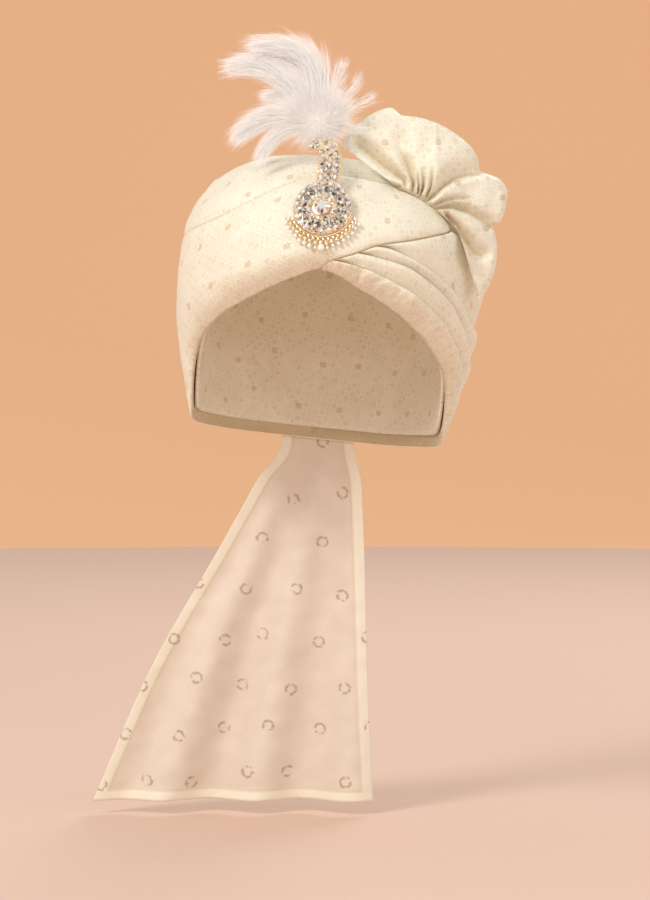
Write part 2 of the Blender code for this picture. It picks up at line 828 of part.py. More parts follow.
def add_operand(name, mesh, matrix):
    """A hidden body that a Boolean joins to a piece or cuts from it."""
    body = bpy.data.objects.new(name, mesh)
    bpy.data.collections[CUTTERS].objects.link(body)
    body.matrix_world = matrix
    body.hide_render = True
    body.display_type = "WIRE"
    return body


def combine(body, operation, operand):
    step = body.modifiers.new(operand.name, "BOOLEAN")
    step.operation = operation
    step.object = operand


def disc(name, radius, bottom, top, sides=32, top_radius=None):
    """A disc or a frustum about Z."""

    def build(work):
        middle = Matrix.Translation((0, 0, (bottom + top) / 2))
        bmesh.ops.create_cone(
            work,
            cap_ends=True,
            segments=sides,
            radius1=radius,
            radius2=radius if top_radius is None else top_radius,
            depth=top - bottom,
            matrix=middle,
        )

    return mesh_from(name, build)


def stem_line():
    """Points, directions and widths along the stem's middle line at even steps, and the step's length."""
    table = np.array(STEM_LINE) * STEM_HEIGHT
    run = np.concatenate([[0], np.cumsum(np.hypot(*np.diff(table[:, :2], axis=0).T))])
    at = np.linspace(0, run[-1], STEM_SECTIONS)
    x, y, width = (through(np.stack([run, table[:, column]], 1))(at) for column in range(3))
    heading = np.arctan2(np.gradient(y), np.gradient(x))
    return at, x, y, width, heading


def stem_mesh():
    """The stem's plate: a tapering strip that curls over at its top."""
    _, x, y, width, heading = stem_line()
    rings = []
    for px, py, wide, turn in zip(x, y, width, heading):
        side = np.array([-math.sin(turn), math.cos(turn)]) * wide / 2
        near, far = (px, py) + side, (px, py) - side
        rings.append([(*near, 0.0), (*near, PLATE), (*far, PLATE), (*far, 0.0)])
    return loft("stem", rings)


def stone_places():
    """Middle, radius, height and seat of every small stone."""
    places = []
    for share, count, radius, height, on_tier in STONE_RINGS:
        seat = PLATE + TIER if on_tier else PLATE
        for index in range(count):
            turn = 2 * math.pi * (index + 0.5) / count
            ring = share * ROSETTE_RADIUS
            places.append((ring * math.cos(turn), ring * math.sin(turn), radius, height, seat))
    at, line_x, line_y, width, heading = stem_line()
    clear = ROSETTE_RADIUS + STEM_STONE
    for along in np.arange(STEM_STONE_PITCH / 2, at[-1], STEM_STONE_PITCH):
        wide = np.interp(along, at, width)
        columns = max(1, int(wide / (STEM_STONE_SPREAD * STEM_STONE)))
        turn = np.interp(along, at, np.unwrap(heading))
        for column in range(columns):
            off = (column - (columns - 1) / 2) * wide / columns
            px = np.interp(along, at, line_x) - math.sin(turn) * off
            py = np.interp(along, at, line_y) + math.cos(turn) * off
            radius = min(STEM_STONE, STEM_STONE_SHARE * wide)
            room = radius + STONE_FIT
            crowded = any(math.hypot(px - x, py - y) < room + other for x, y, other, *_ in places)
            if math.hypot(px, py) > clear and not crowded:
                places.append((px, py, radius, STEM_STONE_HEIGHT, PLATE))
    return places


def stones_mesh():
    """All the small stones: frustums with a table, sunk a little into the metal."""

    def build(work):
        for x, y, radius, height, seat in stone_places():
            bmesh.ops.create_cone(
                work,
                cap_ends=True,
                segments=STONE_SIDES,
                radius1=radius,
                radius2=radius * STONE_TABLE,
                depth=height + STONE_SINK,
                matrix=Matrix.Translation((x, y, seat + (height - STONE_SINK) / 2)),
            )

    return mesh_from("stones", build)


def make_brooch(gold, stone):
    frame = brooch_frame()
    brooch = add_mesh("brooch", disc("rosette", ROSETTE_RADIUS, 0, PLATE), gold, frame)
    tier_top = PLATE + TIER
    bezel_top = tier_top + BEZEL_HEIGHT
    combine(brooch, "UNION", add_operand("stem", stem_mesh(), frame))
    combine(brooch, "UNION", add_operand("tier", disc("tier", TIER_RADIUS, PLATE / 2, tier_top), frame))
    combine(brooch, "UNION", add_operand("bezel", disc("bezel", BEZEL_RADIUS, PLATE, bezel_top, 24), frame))
    pocket_radius = BEZEL_RADIUS - BEZEL_WALL
    pocket_floor = bezel_top - POCKET_DEPTH
    pocket = disc("pocket", pocket_radius, pocket_floor, bezel_top + PLATE, 24)
    combine(brooch, "DIFFERENCE", add_operand("pocket", pocket, frame))
    combine(brooch, "UNION", add_operand("stones", stones_mesh(), frame))
    girdle = pocket_radius - STONE_FIT
    seat = pocket_floor + STONE_FIT
    centre = disc("centre_stone", girdle, seat, seat + CENTRE_STONE_HEIGHT, 12, girdle * STONE_TABLE)
    add_mesh("centre_stone", centre, stone, frame)
    make_fringe(frame, gold)
    make_pin(frame, gold)


def drop_places(frame):
    """Where each drop leaves the rail and where its pearl rests on the wrap."""
    ring = ROSETTE_RADIUS + RAIL_FIT + RAIL_RADIUS
    places = []
    for angle in np.linspace(FRINGE_START, FRINGE_END, DROPS):
        turn = math.radians(angle)
        start = Vector((ring * math.cos(turn), ring * math.sin(turn), PLATE / 2))
        way = Vector((math.cos(turn), math.sin(turn) - DROP_FALL, 0)).normalized()
        end = start + way * DROP_LENGTH
        end.z = min(resting_depth(frame, end.x, end.y, PEARL_RADIUS), PLATE / 2)
        places.append((start, end))
    return places


def make_fringe(frame, gold):
    """The rail under the rosette with its pearl drops."""
    ring = ROSETTE_RADIUS + RAIL_FIT + RAIL_RADIUS
    curve = bpy.data.curves.new("rail", "CURVE")
    curve.dimensions = "3D"
    curve.bevel_depth = RAIL_RADIUS
    curve.bevel_resolution = 1
    curve.use_fill_caps = True
    spline = curve.splines.new("POLY")
    turns = np.radians(np.linspace(FRINGE_START - 3, FRINGE_END + 3, 19))
    spline.points.add(len(turns) - 1)
    for point, turn in zip(spline.points, turns):
        point.co = (ring * math.cos(turn), ring * math.sin(turn), PLATE / 2, 1)
    fringe = add_mesh("pearl_fringe", welded(curve), gold, frame)
    places = drop_places(frame)

    def wires(work):
        for start, end in places:
            way = end - start
            turned = way.to_track_quat("Z", "Y").to_matrix().to_4x4()
            bmesh.ops.create_cone(
                work,
                cap_ends=True,
                segments=5,
                radius1=DROP_WIRE,
                radius2=DROP_WIRE,
                depth=way.length,
                matrix=Matrix.Translation((start + end) / 2) @ turned,
            )

    def pearls(work):
        for _, end in places:
            bmesh.ops.create_uvsphere(
                work,
                u_segments=PEARL_SIDES,
                v_segments=PEARL_RINGS,
                radius=PEARL_RADIUS,
                matrix=Matrix.Translation(end),
            )

    combine(fringe, "UNION", add_operand("drop_wires", mesh_from("drop_wires", wires), frame))
    combine(fringe, "UNION", add_operand("pearls", mesh_from("pearls", pearls), frame))


def welded(curve):
    """The mesh of a curve, with its caps joined to its sides."""
    guide = bpy.data.objects.new(curve.name, curve)
    bpy.context.scene.collection.objects.link(guide)
    graph = bpy.context.evaluated_depsgraph_get()
    mesh = bpy.data.meshes.new_from_object(guide.evaluated_get(graph))
    bpy.data.objects.remove(guide)
    work = bmesh.new()
    work.from_mesh(mesh)
    bmesh.ops.remove_doubles(work, verts=work.verts, dist=1e-6)
    bmesh.ops.recalc_face_normals(work, faces=work.faces)
    work.to_mesh(mesh)
    work.free()
    return mesh


def make_pin(frame, gold):
    """The hidden pin between the brooch and the wrap."""
    up = PIN_UP * ROSETTE_RADIUS
    foot = resting_depth(frame, 0.0, up, 0.0)
    pin = disc("brooch_pin", PIN_RADIUS, foot, -GAP, 12)
    add_mesh("brooch_pin", pin, gold, frame @ Matrix.Translation((0, up, 0)))


def lock_rings(root, bend, tip, half_width):
    """Sections of a lock along a curve from its root past a bend to its tip: flat ovals that thin out."""
    rings = []
    for share in np.linspace(0, 1, LOCK_SECTIONS).tolist():
        point = (1 - share) ** 2 * root + 2 * share * (1 - share) * bend + share**2 * tip
        way = ((1 - share) * (bend - root) + share * (tip - bend)).normalized()
        side = way.cross(Vector((0, 1, 0))).normalized()
        depth = way.cross(side)
        swell = 1 + LOCK_BELLY * share * (1 - share)
        wide = half_width * LOCK_ROOT_WIDTH * swell * (1 - LOCK_TIP_TAPER * share**3)
        ring = []
        for turn in np.linspace(0, 2 * math.pi, LOCK_SIDES, endpoint=False).tolist():
            off = side * math.cos(turn) + depth * LOCK_FLATNESS * math.sin(turn)
            ring.append(point + off * wide)
        rings.append(ring)
    return rings


def upper_wrap_lift(azimuth, level):
    """How far the upper wrap stands over the wound surface at a place on it."""
    low, high = upper_wrap_lower(azimuth), top_edge(azimuth)
    share, lift = np.array(UPPER_PROFILE).T
    return float(np.interp((level - low) / (high - low), share, lift))


def make_plume(down):
    """The plume: locks joined to a tuft on a quill that stands on the upper wrap."""
    lift = upper_wrap_lift(PLUME_AZIMUTH, PLUME_LEVEL) + WIDE_GAP
    foot = Vector(leaned(outer_skin(PLUME_AZIMUTH, PLUME_LEVEL, lift)))
    out = (Vector(leaned(outer_skin(PLUME_AZIMUTH, PLUME_LEVEL, lift + PLUME_QUILL))) - foot).normalized()
    top = foot + out * PLUME_QUILL
    middle = top + Vector(PLUME_TUFT_AT) * PLUME_HEIGHT
    way = middle - foot
    frame = Matrix.Translation(foot) @ way.to_track_quat("Z", "Y").to_matrix().to_4x4()
    plume = add_mesh("plume", disc("quill", PLUME_QUILL_RADIUS, 0, way.length * LOCK_ROOT, 8), down, frame)
    size = Matrix.Diagonal((*(Vector(PLUME_TUFT) * PLUME_HEIGHT), 1))

    def tuft(work):
        bmesh.ops.create_uvsphere(work, u_segments=12, v_segments=7, radius=1, matrix=size)

    combine(plume, "UNION", add_operand("tuft", mesh_from("tuft", tuft), Matrix.Translation(middle)))
    for index, (bend_x, bend_z, tip_x, tip_z, back, half) in enumerate(PLUME_LOCKS):
        bend = top + Vector((bend_x, back / 2, bend_z)) * PLUME_HEIGHT
        tip = top + Vector((tip_x, back, tip_z)) * PLUME_HEIGHT
        root = top + (middle - top) * LOCK_ROOT
        rings = lock_rings(root, bend, tip, half * PLUME_HEIGHT)
        combine(plume, "UNION", add_operand(f"lock_{index}", loft("lock", rings), Matrix.Identity(4)))


def clear_scene():
    for body in list(bpy.data.objects):
        bpy.data.objects.remove(body)
    for name in (COLLECTION, CUTTERS):
        bpy.context.scene.collection.children.link(bpy.data.collections.new(name))


def main():
    clear_scene()
    brocade = new_material("cream_brocade", (0.86, 0.81, 0.66), 0.55)
    gold = new_material("pale_gold", (0.78, 0.66, 0.42), 0.3, 1.0)
    stone = new_material("clear_stone", (0.85, 0.87, 0.88), 0.05)
    down = new_material("white_down", (0.93, 0.91, 0.89), 0.8)
    make_crown_cloth(brocade)
    make_wraps(brocade)
    make_fan(brocade)
    make_tail(brocade)
    make_brooch(gold, stone)
    make_plume(down)


main()
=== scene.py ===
"""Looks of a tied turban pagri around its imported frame: wound brocade, a gathered fan, a free tail, a brooch, a plume.

Metres, +Z up. The wearer looks along -Y. The origin is the middle of the opening where the head goes in.
An azimuth is measured in degrees from the front, positive towards +X. A level is a share of the way up the
outer surface: 0 at the opening's plane and 1 at the top.
"""

import json
import math

import bmesh
import bpy
import numpy as np
from mathutils import Matrix, Vector

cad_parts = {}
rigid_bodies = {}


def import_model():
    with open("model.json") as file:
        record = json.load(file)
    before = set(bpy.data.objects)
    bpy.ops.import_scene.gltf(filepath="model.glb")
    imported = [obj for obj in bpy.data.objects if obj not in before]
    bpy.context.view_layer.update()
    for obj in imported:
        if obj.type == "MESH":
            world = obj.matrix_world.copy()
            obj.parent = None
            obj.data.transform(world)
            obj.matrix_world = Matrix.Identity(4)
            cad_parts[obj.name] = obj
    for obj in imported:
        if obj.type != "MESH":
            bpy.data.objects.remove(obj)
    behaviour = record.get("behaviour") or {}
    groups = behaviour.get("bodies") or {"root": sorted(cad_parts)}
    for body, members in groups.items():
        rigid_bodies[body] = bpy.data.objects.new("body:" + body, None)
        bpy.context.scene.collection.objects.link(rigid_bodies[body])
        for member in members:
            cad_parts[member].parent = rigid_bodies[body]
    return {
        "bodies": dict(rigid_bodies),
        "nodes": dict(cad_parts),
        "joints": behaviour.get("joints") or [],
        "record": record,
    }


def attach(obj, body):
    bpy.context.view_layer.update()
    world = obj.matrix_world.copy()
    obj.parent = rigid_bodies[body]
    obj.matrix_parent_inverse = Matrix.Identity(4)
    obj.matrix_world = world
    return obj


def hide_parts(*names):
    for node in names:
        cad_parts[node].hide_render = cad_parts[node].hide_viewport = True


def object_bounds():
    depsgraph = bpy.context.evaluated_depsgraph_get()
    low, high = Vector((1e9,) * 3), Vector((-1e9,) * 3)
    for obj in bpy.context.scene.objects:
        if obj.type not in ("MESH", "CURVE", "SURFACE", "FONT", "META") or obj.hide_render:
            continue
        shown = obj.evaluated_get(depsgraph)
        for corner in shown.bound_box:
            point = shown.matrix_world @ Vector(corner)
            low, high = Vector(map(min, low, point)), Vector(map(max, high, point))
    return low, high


BODY = "root"

# Camera and floor
CAMERA_PLACE = (0.00603, -2.391, 0.08375)
CAMERA_AIM = (0.00603, 0.0, -0.01608)
CAMERA_LENS = 142.7
CAMERA_SENSOR = 36.0
FLOOR_DROP = 0.0095  # the turban is held this far over the floor
FLOOR_RADIUS = 2.9
COVE_RADIUS = 1.4
COVE_TOP = 3.4

# The wound body, as the solids have it
LEAN = math.radians(6)
CROWN_CLEARANCE = 0.0011
HEAD_HALF_WIDTH = 0.083
HEAD_FRONT = 0.097
HEAD_BACK = 0.101
HEAD_WIDEST_AT = 0.100
HEAD_RISE = 0.070
HEAD_TAPER = 0.036
DOME_FULLNESS = 2.25
PLAN_FULLNESS = 2.1
CROWN_WALL = 0.0025
WOUND_SIDE = 0.0157
WOUND_FRONT = 0.0167
WOUND_BACK = 0.0177
WOUND_TOP = 0.0087
WOUND_SHOULDER = 0.0067
WOUND_TAPER = 0.078
CROWN_TUCK = 0.008
RIM_DEPTH = 0.15

# Azimuths where the wraps meet
FRONT_END = 50.3
BACK_END = 135.0
FULL_TURN = 360.0

# Rim: azimuth, level, roll (metres up which the edge is rounded), how squarely it is rounded (2 is a circle)
RIM = [
    (-180.0, -0.050, 0.032, 1.6),
    (-150.0, -0.047, 0.040, 1.4),
    (-120.0, -0.035, 0.055, 1.2),
    (-97.0, -0.016, 0.062, 1.2),
    (-87.5, 0.065, 0.050, 1.3),
    (-81.3, 0.142, 0.036, 1.6),
    (-72.0, 0.208, 0.026, 1.9),
    (-57.2, 0.268, 0.018, 2.0),
    (-33.8, 0.346, 0.013, 2.0),
    (-14.3, 0.409, 0.011, 2.0),
    (-5.0, 0.434, 0.010, 2.0),
    (11.9, 0.391, 0.010, 2.0),
    (30.0, 0.336, 0.012, 2.0),
    (52.0, 0.252, 0.017, 2.0),
    (63.6, 0.204, 0.021, 2.0),
    (73.5, 0.152, 0.026, 1.9),
    (81.0, 0.092, 0.036, 1.6),
    (90.0, 0.004, 0.052, 1.3),
    (100.0, -0.022, 0.062, 1.2),
    (120.0, -0.035, 0.055, 1.2),
    (150.0, -0.047, 0.040, 1.4),
    (180.0, -0.050, 0.032, 1.6),
]

# Upper edge of the front wrap, round the left side to the back: azimuth, level
FRONT_WRAP_UPPER = [
    (-225.0, 0.409),
    (-217.0, 0.452),
    (-205.0, 0.488),
    (-180.0, 0.510),
    (-150.0, 0.500),
    (-120.0, 0.474),
    (-90.0, 0.465),
    (-70.0, 0.485),
    (-53.4, 0.518),
    (-35.3, 0.594),
    (-17.6, 0.675),
    (0.0, 0.712),
    (19.5, 0.702),
    (36.4, 0.655),
    (46.2, 0.601),
    (48.8, 0.580),
    (50.3, 0.565),
]

# Lower edge of the front wrap where it leaves the rim: azimuth, level
FRONT_WRAP_LOWER_FRONT = [
    (-5.0, 0.434),
    (1.9, 0.450),
    (8.7, 0.472),
    (14.2, 0.491),
    (30.3, 0.519),
    (43.8, 0.543),
    (48.8, 0.551),
    (50.3, 0.556),
]
FRONT_WRAP_LOWER_BACK = [
    (-225.0, 0.400),
    (-210.0, 0.305),
    (-195.0, 0.150),
    (-186.0, 0.040),
    (-178.0, -0.050),
]

# Creases between the wraps on the right: azimuth, level
SIDE_WRAP_UPPER = [(50.3, 0.556), (60.0, 0.522), (75.0, 0.482), (90.0, 0.455), (120.0, 0.422), (135.0, 0.400)]
PLEAT_UPPER_EDGE = [
    (8.0, 0.492),
    (17.5, 0.491),
    (26.5, 0.474),
    (38.3, 0.441),
    (48.1, 0.410),
    (58.3, 0.366),
    (69.8, 0.318),
    (90.0, 0.290),
    (120.0, 0.272),
    (150.0, 0.255),
    (180.0, 0.230),
]
PLEAT_LOWER_EDGE = [
    (2.0, 0.470),
    (7.5, 0.469),
    (18.9, 0.458),
    (26.9, 0.446),
    (36.8, 0.416),
    (49.3, 0.368),
    (58.6, 0.324),
    (67.8, 0.274),
    (78.0, 0.228),
    (90.0, 0.196),
    (120.0, 0.178),
    (150.0, 0.165),
    (180.0, 0.150),
]
RIM_WRAP_EDGE = [
    (-5.0, 0.455),
    (0.4, 0.445),
    (7.5, 0.435),
    (16.4, 0.418),
    (26.7, 0.393),
    (36.8, 0.360),
    (46.9, 0.318),
    (55.8, 0.280),
    (64.8, 0.240),
    (73.0, 0.202),
    (80.0, 0.158),
    (90.0, 0.096),
    (102.0, 0.070),
    (120.0, 0.060),
    (150.0, 0.052),
    (180.0, 0.050),
]

# Upper edge of the upper wrap, round the top: azimuth, level
TOP_EDGE = [(-180.0, 0.855), (-90.0, 0.835), (0.0, 0.862), (90.0, 0.840), (180.0, 0.855)]

# Layers of cloth that show on the upper wrap at the back and the sides: azimuth, level, for each line
LAYER_LINES = [
    [(62.0, 0.560), (90.0, 0.600), (130.0, 0.660), (180.0, 0.700), (230.0, 0.690), (275.0, 0.640)],
    [(70.0, 0.700), (110.0, 0.740), (160.0, 0.775), (210.0, 0.770), (260.0, 0.735)],
    [(58.0, 0.640), (85.0, 0.665), (110.0, 0.660), (150.0, 0.610), (185.0, 0.560)],
]
LAYER_STEP = 0.0018
LAYER_SLOPE = 0.020

# Fan: its gather on the front wrap's upper edge, and its size
FAN_AZIMUTH = 44.1
FAN_LEVEL = 0.606
FAN_RADIUS = 0.078
FAN_WALL = 0.0022
FAN_CLEARANCE = 0.0030
FAN_ROOT = (31.0, 51.6)
FAN_ROOT_LIFT = (-0.0030, 0.0032)
FAN_BACK_LEAN = 0.30
FAN_SIDE_LEAN = 0.62

# Edge of the fan round its gather, in the plane that faces the front: angle from +X, share of FAN_RADIUS
FAN_EDGE = [
    (-64.0, 0.825),
    (-52.0, 0.744),
    (-41.9, 0.675),
    (-28.6, 0.585),
    (-21.7, 0.541),
    (-12.3, 0.491),
    (-8.0, 0.541),
    (0.3, 0.576),
    (10.0, 0.608),
    (18.0, 0.636),
    (27.2, 0.616),
    (35.1, 0.559),
    (43.3, 0.519),
    (52.2, 0.579),
    (60.0, 0.620),
    (78.4, 0.693),
    (90.6, 0.753),
    (101.8, 0.815),
    (109.7, 0.866),
    (113.0, 0.953),
    (121.2, 0.979),
    (134.3, 0.988),
    (145.0, 0.970),
]

FAN_LIFT = 0.0105
FAN_CREASE = 0.0011  # half width of the shade in a valley
FAN_SHADE = 0.55  # shade over the whole width of a valley

# Valleys of the fan from the roll on the left to the lowest petal: depth as a share of the lift, half width on the
# left and on the right in millimetres, share of the depth that is left at the end, and the line from the gather
# outwards as X and Z in millimetres
FAN_VALLEYS = [
    (1.00, 6.0, 3.2, 1.0, [(54.4, 157.5), (44.5, 160.4), (34.7, 163.6), (26.2, 169.3), (15.8, 178.7)]),
    (0.95, 3.4, 5.0, 0.6, [(57.7, 158.9), (57.3, 162.2), (46.9, 170.2), (37.5, 177.7), (27.1, 186.2)]),
    (0.92, 3.4, 3.4, 0.3, [(62.4, 155.0), (63.4, 160.0), (62.0, 166.4), (58.2, 176.8), (54.4, 183.4)]),
    (0.60, 1.5, 1.5, 0.0, [(66.2, 153.3), (66.9, 158.9), (65.7, 166.4), (65.0, 170.0)]),
    (0.70, 1.6, 1.6, 0.0, [(67.6, 151.4), (69.7, 158.0), (70.0, 165.5), (69.6, 171.0)]),
    (0.70, 1.7, 1.9, 0.0, [(70.5, 149.0), (74.2, 157.0), (75.6, 163.6), (76.0, 171.0)]),
    (0.95, 7.0, 2.6, 0.8, [(71.9, 148.1), (77.0, 152.3), (82.7, 158.4), (90.2, 163.6), (99.6, 166.4), (106.7, 166.4)]),
    (0.62, 2.2, 2.2, 0.2, [(75.2, 145.2), (83.6, 149.0), (91.2, 150.6), (99.6, 150.0), (106.0, 147.0)]),
    (0.92, 5.0, 2.0, 0.9, [(77.5, 143.4), (89.3, 144.6), (98.7, 141.8), (109.1, 136.3), (113.8, 132.1)]),
    (1.00, 5.0, 3.2, 0.9, [(84.6, 139.1), (91.2, 131.6), (96.8, 124.1), (103.4, 115.6), (108.1, 113.7)]),
    (0.85, 2.4, 5.0, 1.0, [(87.4, 134.4), (92.1, 117.5), (97.8, 103.3), (104.4, 87.3)]),
]

# Dents of the fan's lobes: X, Z and radius in millimetres, and depth as a share of the lift
FAN_DENTS = [
    (56.3, 188.1, 6.0, 0.45),
    (80.8, 190.9, 9.0, 0.35),
    (72.0, 181.0, 4.0, 0.20),
    (99.6, 154.2, 6.0, 0.30),
    (106.2, 114.6, 5.0, 0.60),
    (106.2, 103.3, 5.0, 0.30),
]

# Tail
TAIL_LENGTH = 0.258
TAIL_BOTTOM = -0.2715
TAIL_WALL = 0.0010
TAIL_FOLDS = 3.0
TAIL_FOLD_DEPTH = 0.009
TAIL_ROOT = (195.0, 162.0)
TAIL_HEM = 0.0080
TAIL_HEM_LIFT = 0.0007

# Edges of the tail: share of its length down, left edge, right edge and distance back, as shares of its length
TAIL_EDGES = [
    (0.0, -0.093, 0.116, 0.000),
    (0.285, -0.253, 0.130, 0.060),
    (0.64, -0.457, 0.140, 0.105),
    (1.0, -0.617, 0.155, 0.147),
]

# Brooch
BROOCH_AZIMUTH = -5.5
BROOCH_LEVEL = 0.571
BROOCH_LEAN = math.radians(24)
BROOCH_CLEARANCE = 0.0020
ROSETTE_RADIUS = 0.0188
PLATE = 0.0014
TIER_RADIUS = 0.0150
TIER = 0.0010

# Rings of stones in the rosette: ring radius as a share of the rosette's, count, stone radius, tone, seat height
STONE_RINGS = [
    (0.885, 22, 0.00235, 0.84, 0.0010),
    (0.665, 16, 0.00235, 0.36, 0.0020),
    (0.462, 12, 0.00215, 0.84, 0.0026),
]
CENTRE_RADIUS = 0.0050
CENTRE_SEAT = 0.0030

# Stem of the brooch along its middle line: sideways, up and width, as shares of its height
STEM_HEIGHT = 0.048
STEM_LINE = [
    (0.048, 0.300, 0.290),
    (0.056, 0.448, 0.290),
    (0.070, 0.594, 0.292),
    (0.078, 0.725, 0.288),
    (0.052, 0.845, 0.255),
    (-0.008, 0.928, 0.210),
    (-0.084, 0.952, 0.165),
    (-0.155, 0.925, 0.125),
    (-0.212, 0.862, 0.090),
]
STEM_STONE = 0.00225
STEM_STONE_PITCH = 0.0043
STEM_STONE_SPREAD = 2.0  # least pitch across the stem, in radii of a stone
STEM_STONE_SHARE = 0.48  # radius of the widest stone that fits a narrow stem, as a share of its width
STEM_CLEAR = 0.0009  # how far a stone of the stem may reach over the rosette's edge
STONE_CROWDING = 0.80  # least distance between stones, as a share of their radii

# Fringe of the brooch
RAIL_RADIUS = 0.0006
RAIL_FIT = 0.0004
FRINGE_START = 200.0
FRINGE_END = 340.0
PEARL_RADIUS = 0.0018

# Plume: its foot on the upper wrap and its size
PLUME_AZIMUTH = -9.0
PLUME_LEVEL = 0.765
PLUME_HEIGHT = 0.069
PLUME_QUILL = 0.012
PLUME_TUFT = (0.34, 0.09, 0.28)
PLUME_TUFT_AT = (-0.09, -0.10, 0.30)
UPPER_WRAP_SINK = 0.0065  # how deep the upper wrap's edges go in

# Locks of the plume from the top of its quill, as shares of its height: bend sideways, bend up, tip sideways,
# tip up, tip back, half width, share of the barbs
PLUME_LOCKS = [
    (0.08, 1.06, -0.69, 0.99, 0.06, 0.095, 1.6),
    (-0.04, 0.95, -0.64, 0.90, 0.12, 0.080, 1.3),
    (-0.39, 0.84, -0.90, 0.79, 0.10, 0.090, 1.5),
    (-0.33, 0.82, -0.83, 0.86, 0.16, 0.070, 1.0),
    (-0.34, 0.56, -0.56, 0.52, 0.12, 0.070, 0.7),
    (-0.56, 0.41, -0.82, 0.15, 0.02, 0.090, 1.3),
    (-0.46, 0.26, -0.62, -0.05, -0.06, 0.070, 0.8),
    (0.10, 0.55, 0.14, 0.82, 0.00, 0.060, 0.22),
    (0.19, 0.45, 0.30, 0.68, -0.10, 0.055, 0.16),
    (0.24, 0.38, 0.42, 0.50, -0.12, 0.055, 0.16),
    (0.20, 0.20, 0.36, 0.20, -0.14, 0.050, 0.12),
]
BARBS_PER_LOCK = 1550
TUFT_BARBS = 6500
BARB_WIDTH = 0.00015
BARB_POINTS = 5

SEED = 41


# Shape of the wound body


def through(rows, column=1):
    """A smooth function of the rows' first column that passes through another one and never overshoots."""
    table = np.array(rows, float)
    place, value = table[:, 0], table[:, column]
    step = np.diff(place)
    slope = np.diff(value) / step
    before, after = slope[:-1], slope[1:]
    same_way = before * after > 0
    middle = np.where(same_way, 2 * before * after / np.where(same_way, before + after, 1), 0)
    grade = np.concatenate([slope[:1], middle, slope[-1:]])

    def at(where):
        where = np.clip(where, place[0], place[-1])
        i = np.clip(np.searchsorted(place, where, side="right") - 1, 0, len(step) - 1)
        u = (where - place[i]) / step[i]
        ends = (1 - 3 * u**2 + 2 * u**3) * value[i] + (3 * u**2 - 2 * u**3) * value[i + 1]
        return ends + step[i] * (grade[i] * (u - 2 * u**2 + u**3) + grade[i + 1] * (u**3 - u**2))

    return at


class Dome:
    """A head-like surface, a rounded oval in plan, nearly upright to its widest height and domed above."""

    def __init__(self, half_width, front, back, widest_at, rise, taper):
        self.half_width = half_width
        self.front = front
        self.back = back
        self.widest_at = widest_at
        self.rise = rise
        self.taper = taper

    def grown(self, side, front, back, shoulder, top, taper):
        return Dome(
            self.half_width + side,
            self.front + front,
            self.back + back,
            self.widest_at + shoulder,
            self.rise - shoulder + top,
            taper,
        )

    def top(self):
        return self.widest_at + self.rise

    def share(self, height):
        """The width at a height, as a share of the widest."""
        over = np.clip((height - self.widest_at) / self.rise, 0, 1)
        under = np.clip((self.widest_at - height) / self.widest_at, 0, None)
        return (1 - over**DOME_FULLNESS) ** (1 / DOME_FULLNESS) * (1 - self.taper * under**1.5)

    def point(self, azimuth, height):
        angle = np.radians(azimuth)
        sine, cosine = np.sin(angle), np.cos(angle)
        power = 2 / PLAN_FULLNESS
        share = self.share(height)
        depth = np.where(cosine > 0, self.front, self.back)
        x = self.half_width * share * np.sign(sine) * np.abs(sine) ** power
        y = -depth * share * np.sign(cosine) * np.abs(cosine) ** power
        return np.stack(np.broadcast_arrays(x, y, height), axis=-1)

    def front_face(self, x, height):
        """Y of the front surface at a side position and height."""
        share = np.maximum(self.share(height), 1e-6)
        across = np.clip(np.abs(x) / (self.half_width * share), 0, 1)
        return -self.front * share * (1 - across**PLAN_FULLNESS) ** (1 / PLAN_FULLNESS)


def leaned(points):
    """Turns points of the upright body about the origin to the turban's lean."""
    x, y, z = points[..., 0], points[..., 1], points[..., 2]
    side, up = math.sin(LEAN), math.cos(LEAN)
    return np.stack([x * up + z * side, y, z * up - x * side], axis=-1)


def unleaned(x, z):
    side, up = math.sin(LEAN), math.cos(LEAN)
    return x * up - z * side, x * side + z * up


HOLLOW = Dome(HEAD_HALF_WIDTH, HEAD_FRONT, HEAD_BACK, HEAD_WIDEST_AT, HEAD_RISE, HEAD_TAPER)
CROWN = HOLLOW.grown(CROWN_WALL, CROWN_WALL, CROWN_WALL, 0, CROWN_WALL, HEAD_TAPER)
SEAT = CROWN.grown(CROWN_CLEARANCE, CROWN_CLEARANCE, CROWN_CLEARANCE, 0, CROWN_CLEARANCE, HEAD_TAPER)
OUTER = SEAT.grown(WOUND_SIDE, WOUND_FRONT, WOUND_BACK, WOUND_SHOULDER, WOUND_TOP, WOUND_TAPER)


def outer_arc():
    """Heights up the outer surface with their lengths of arc from the opening's plane."""
    low = np.linspace(-0.2 * OUTER.widest_at, OUTER.widest_at, 200)[:-1]
    high = OUTER.widest_at + OUTER.rise * np.sin(np.linspace(0, np.pi / 2, 400))
    height = np.concatenate([low, high])
    width = OUTER.half_width * OUTER.share(height)
    arc = np.concatenate([[0], np.cumsum(np.hypot(np.diff(height), np.diff(width)))])
    return height, arc - np.interp(0, height, arc)


ARC_HEIGHTS, ARC_LENGTHS = outer_arc()
ARC = ARC_LENGTHS[-1]


def wrap_angle(azimuth):
    """The same azimuth between -180 and 180."""
    return (azimuth + 180) % FULL_TURN - 180


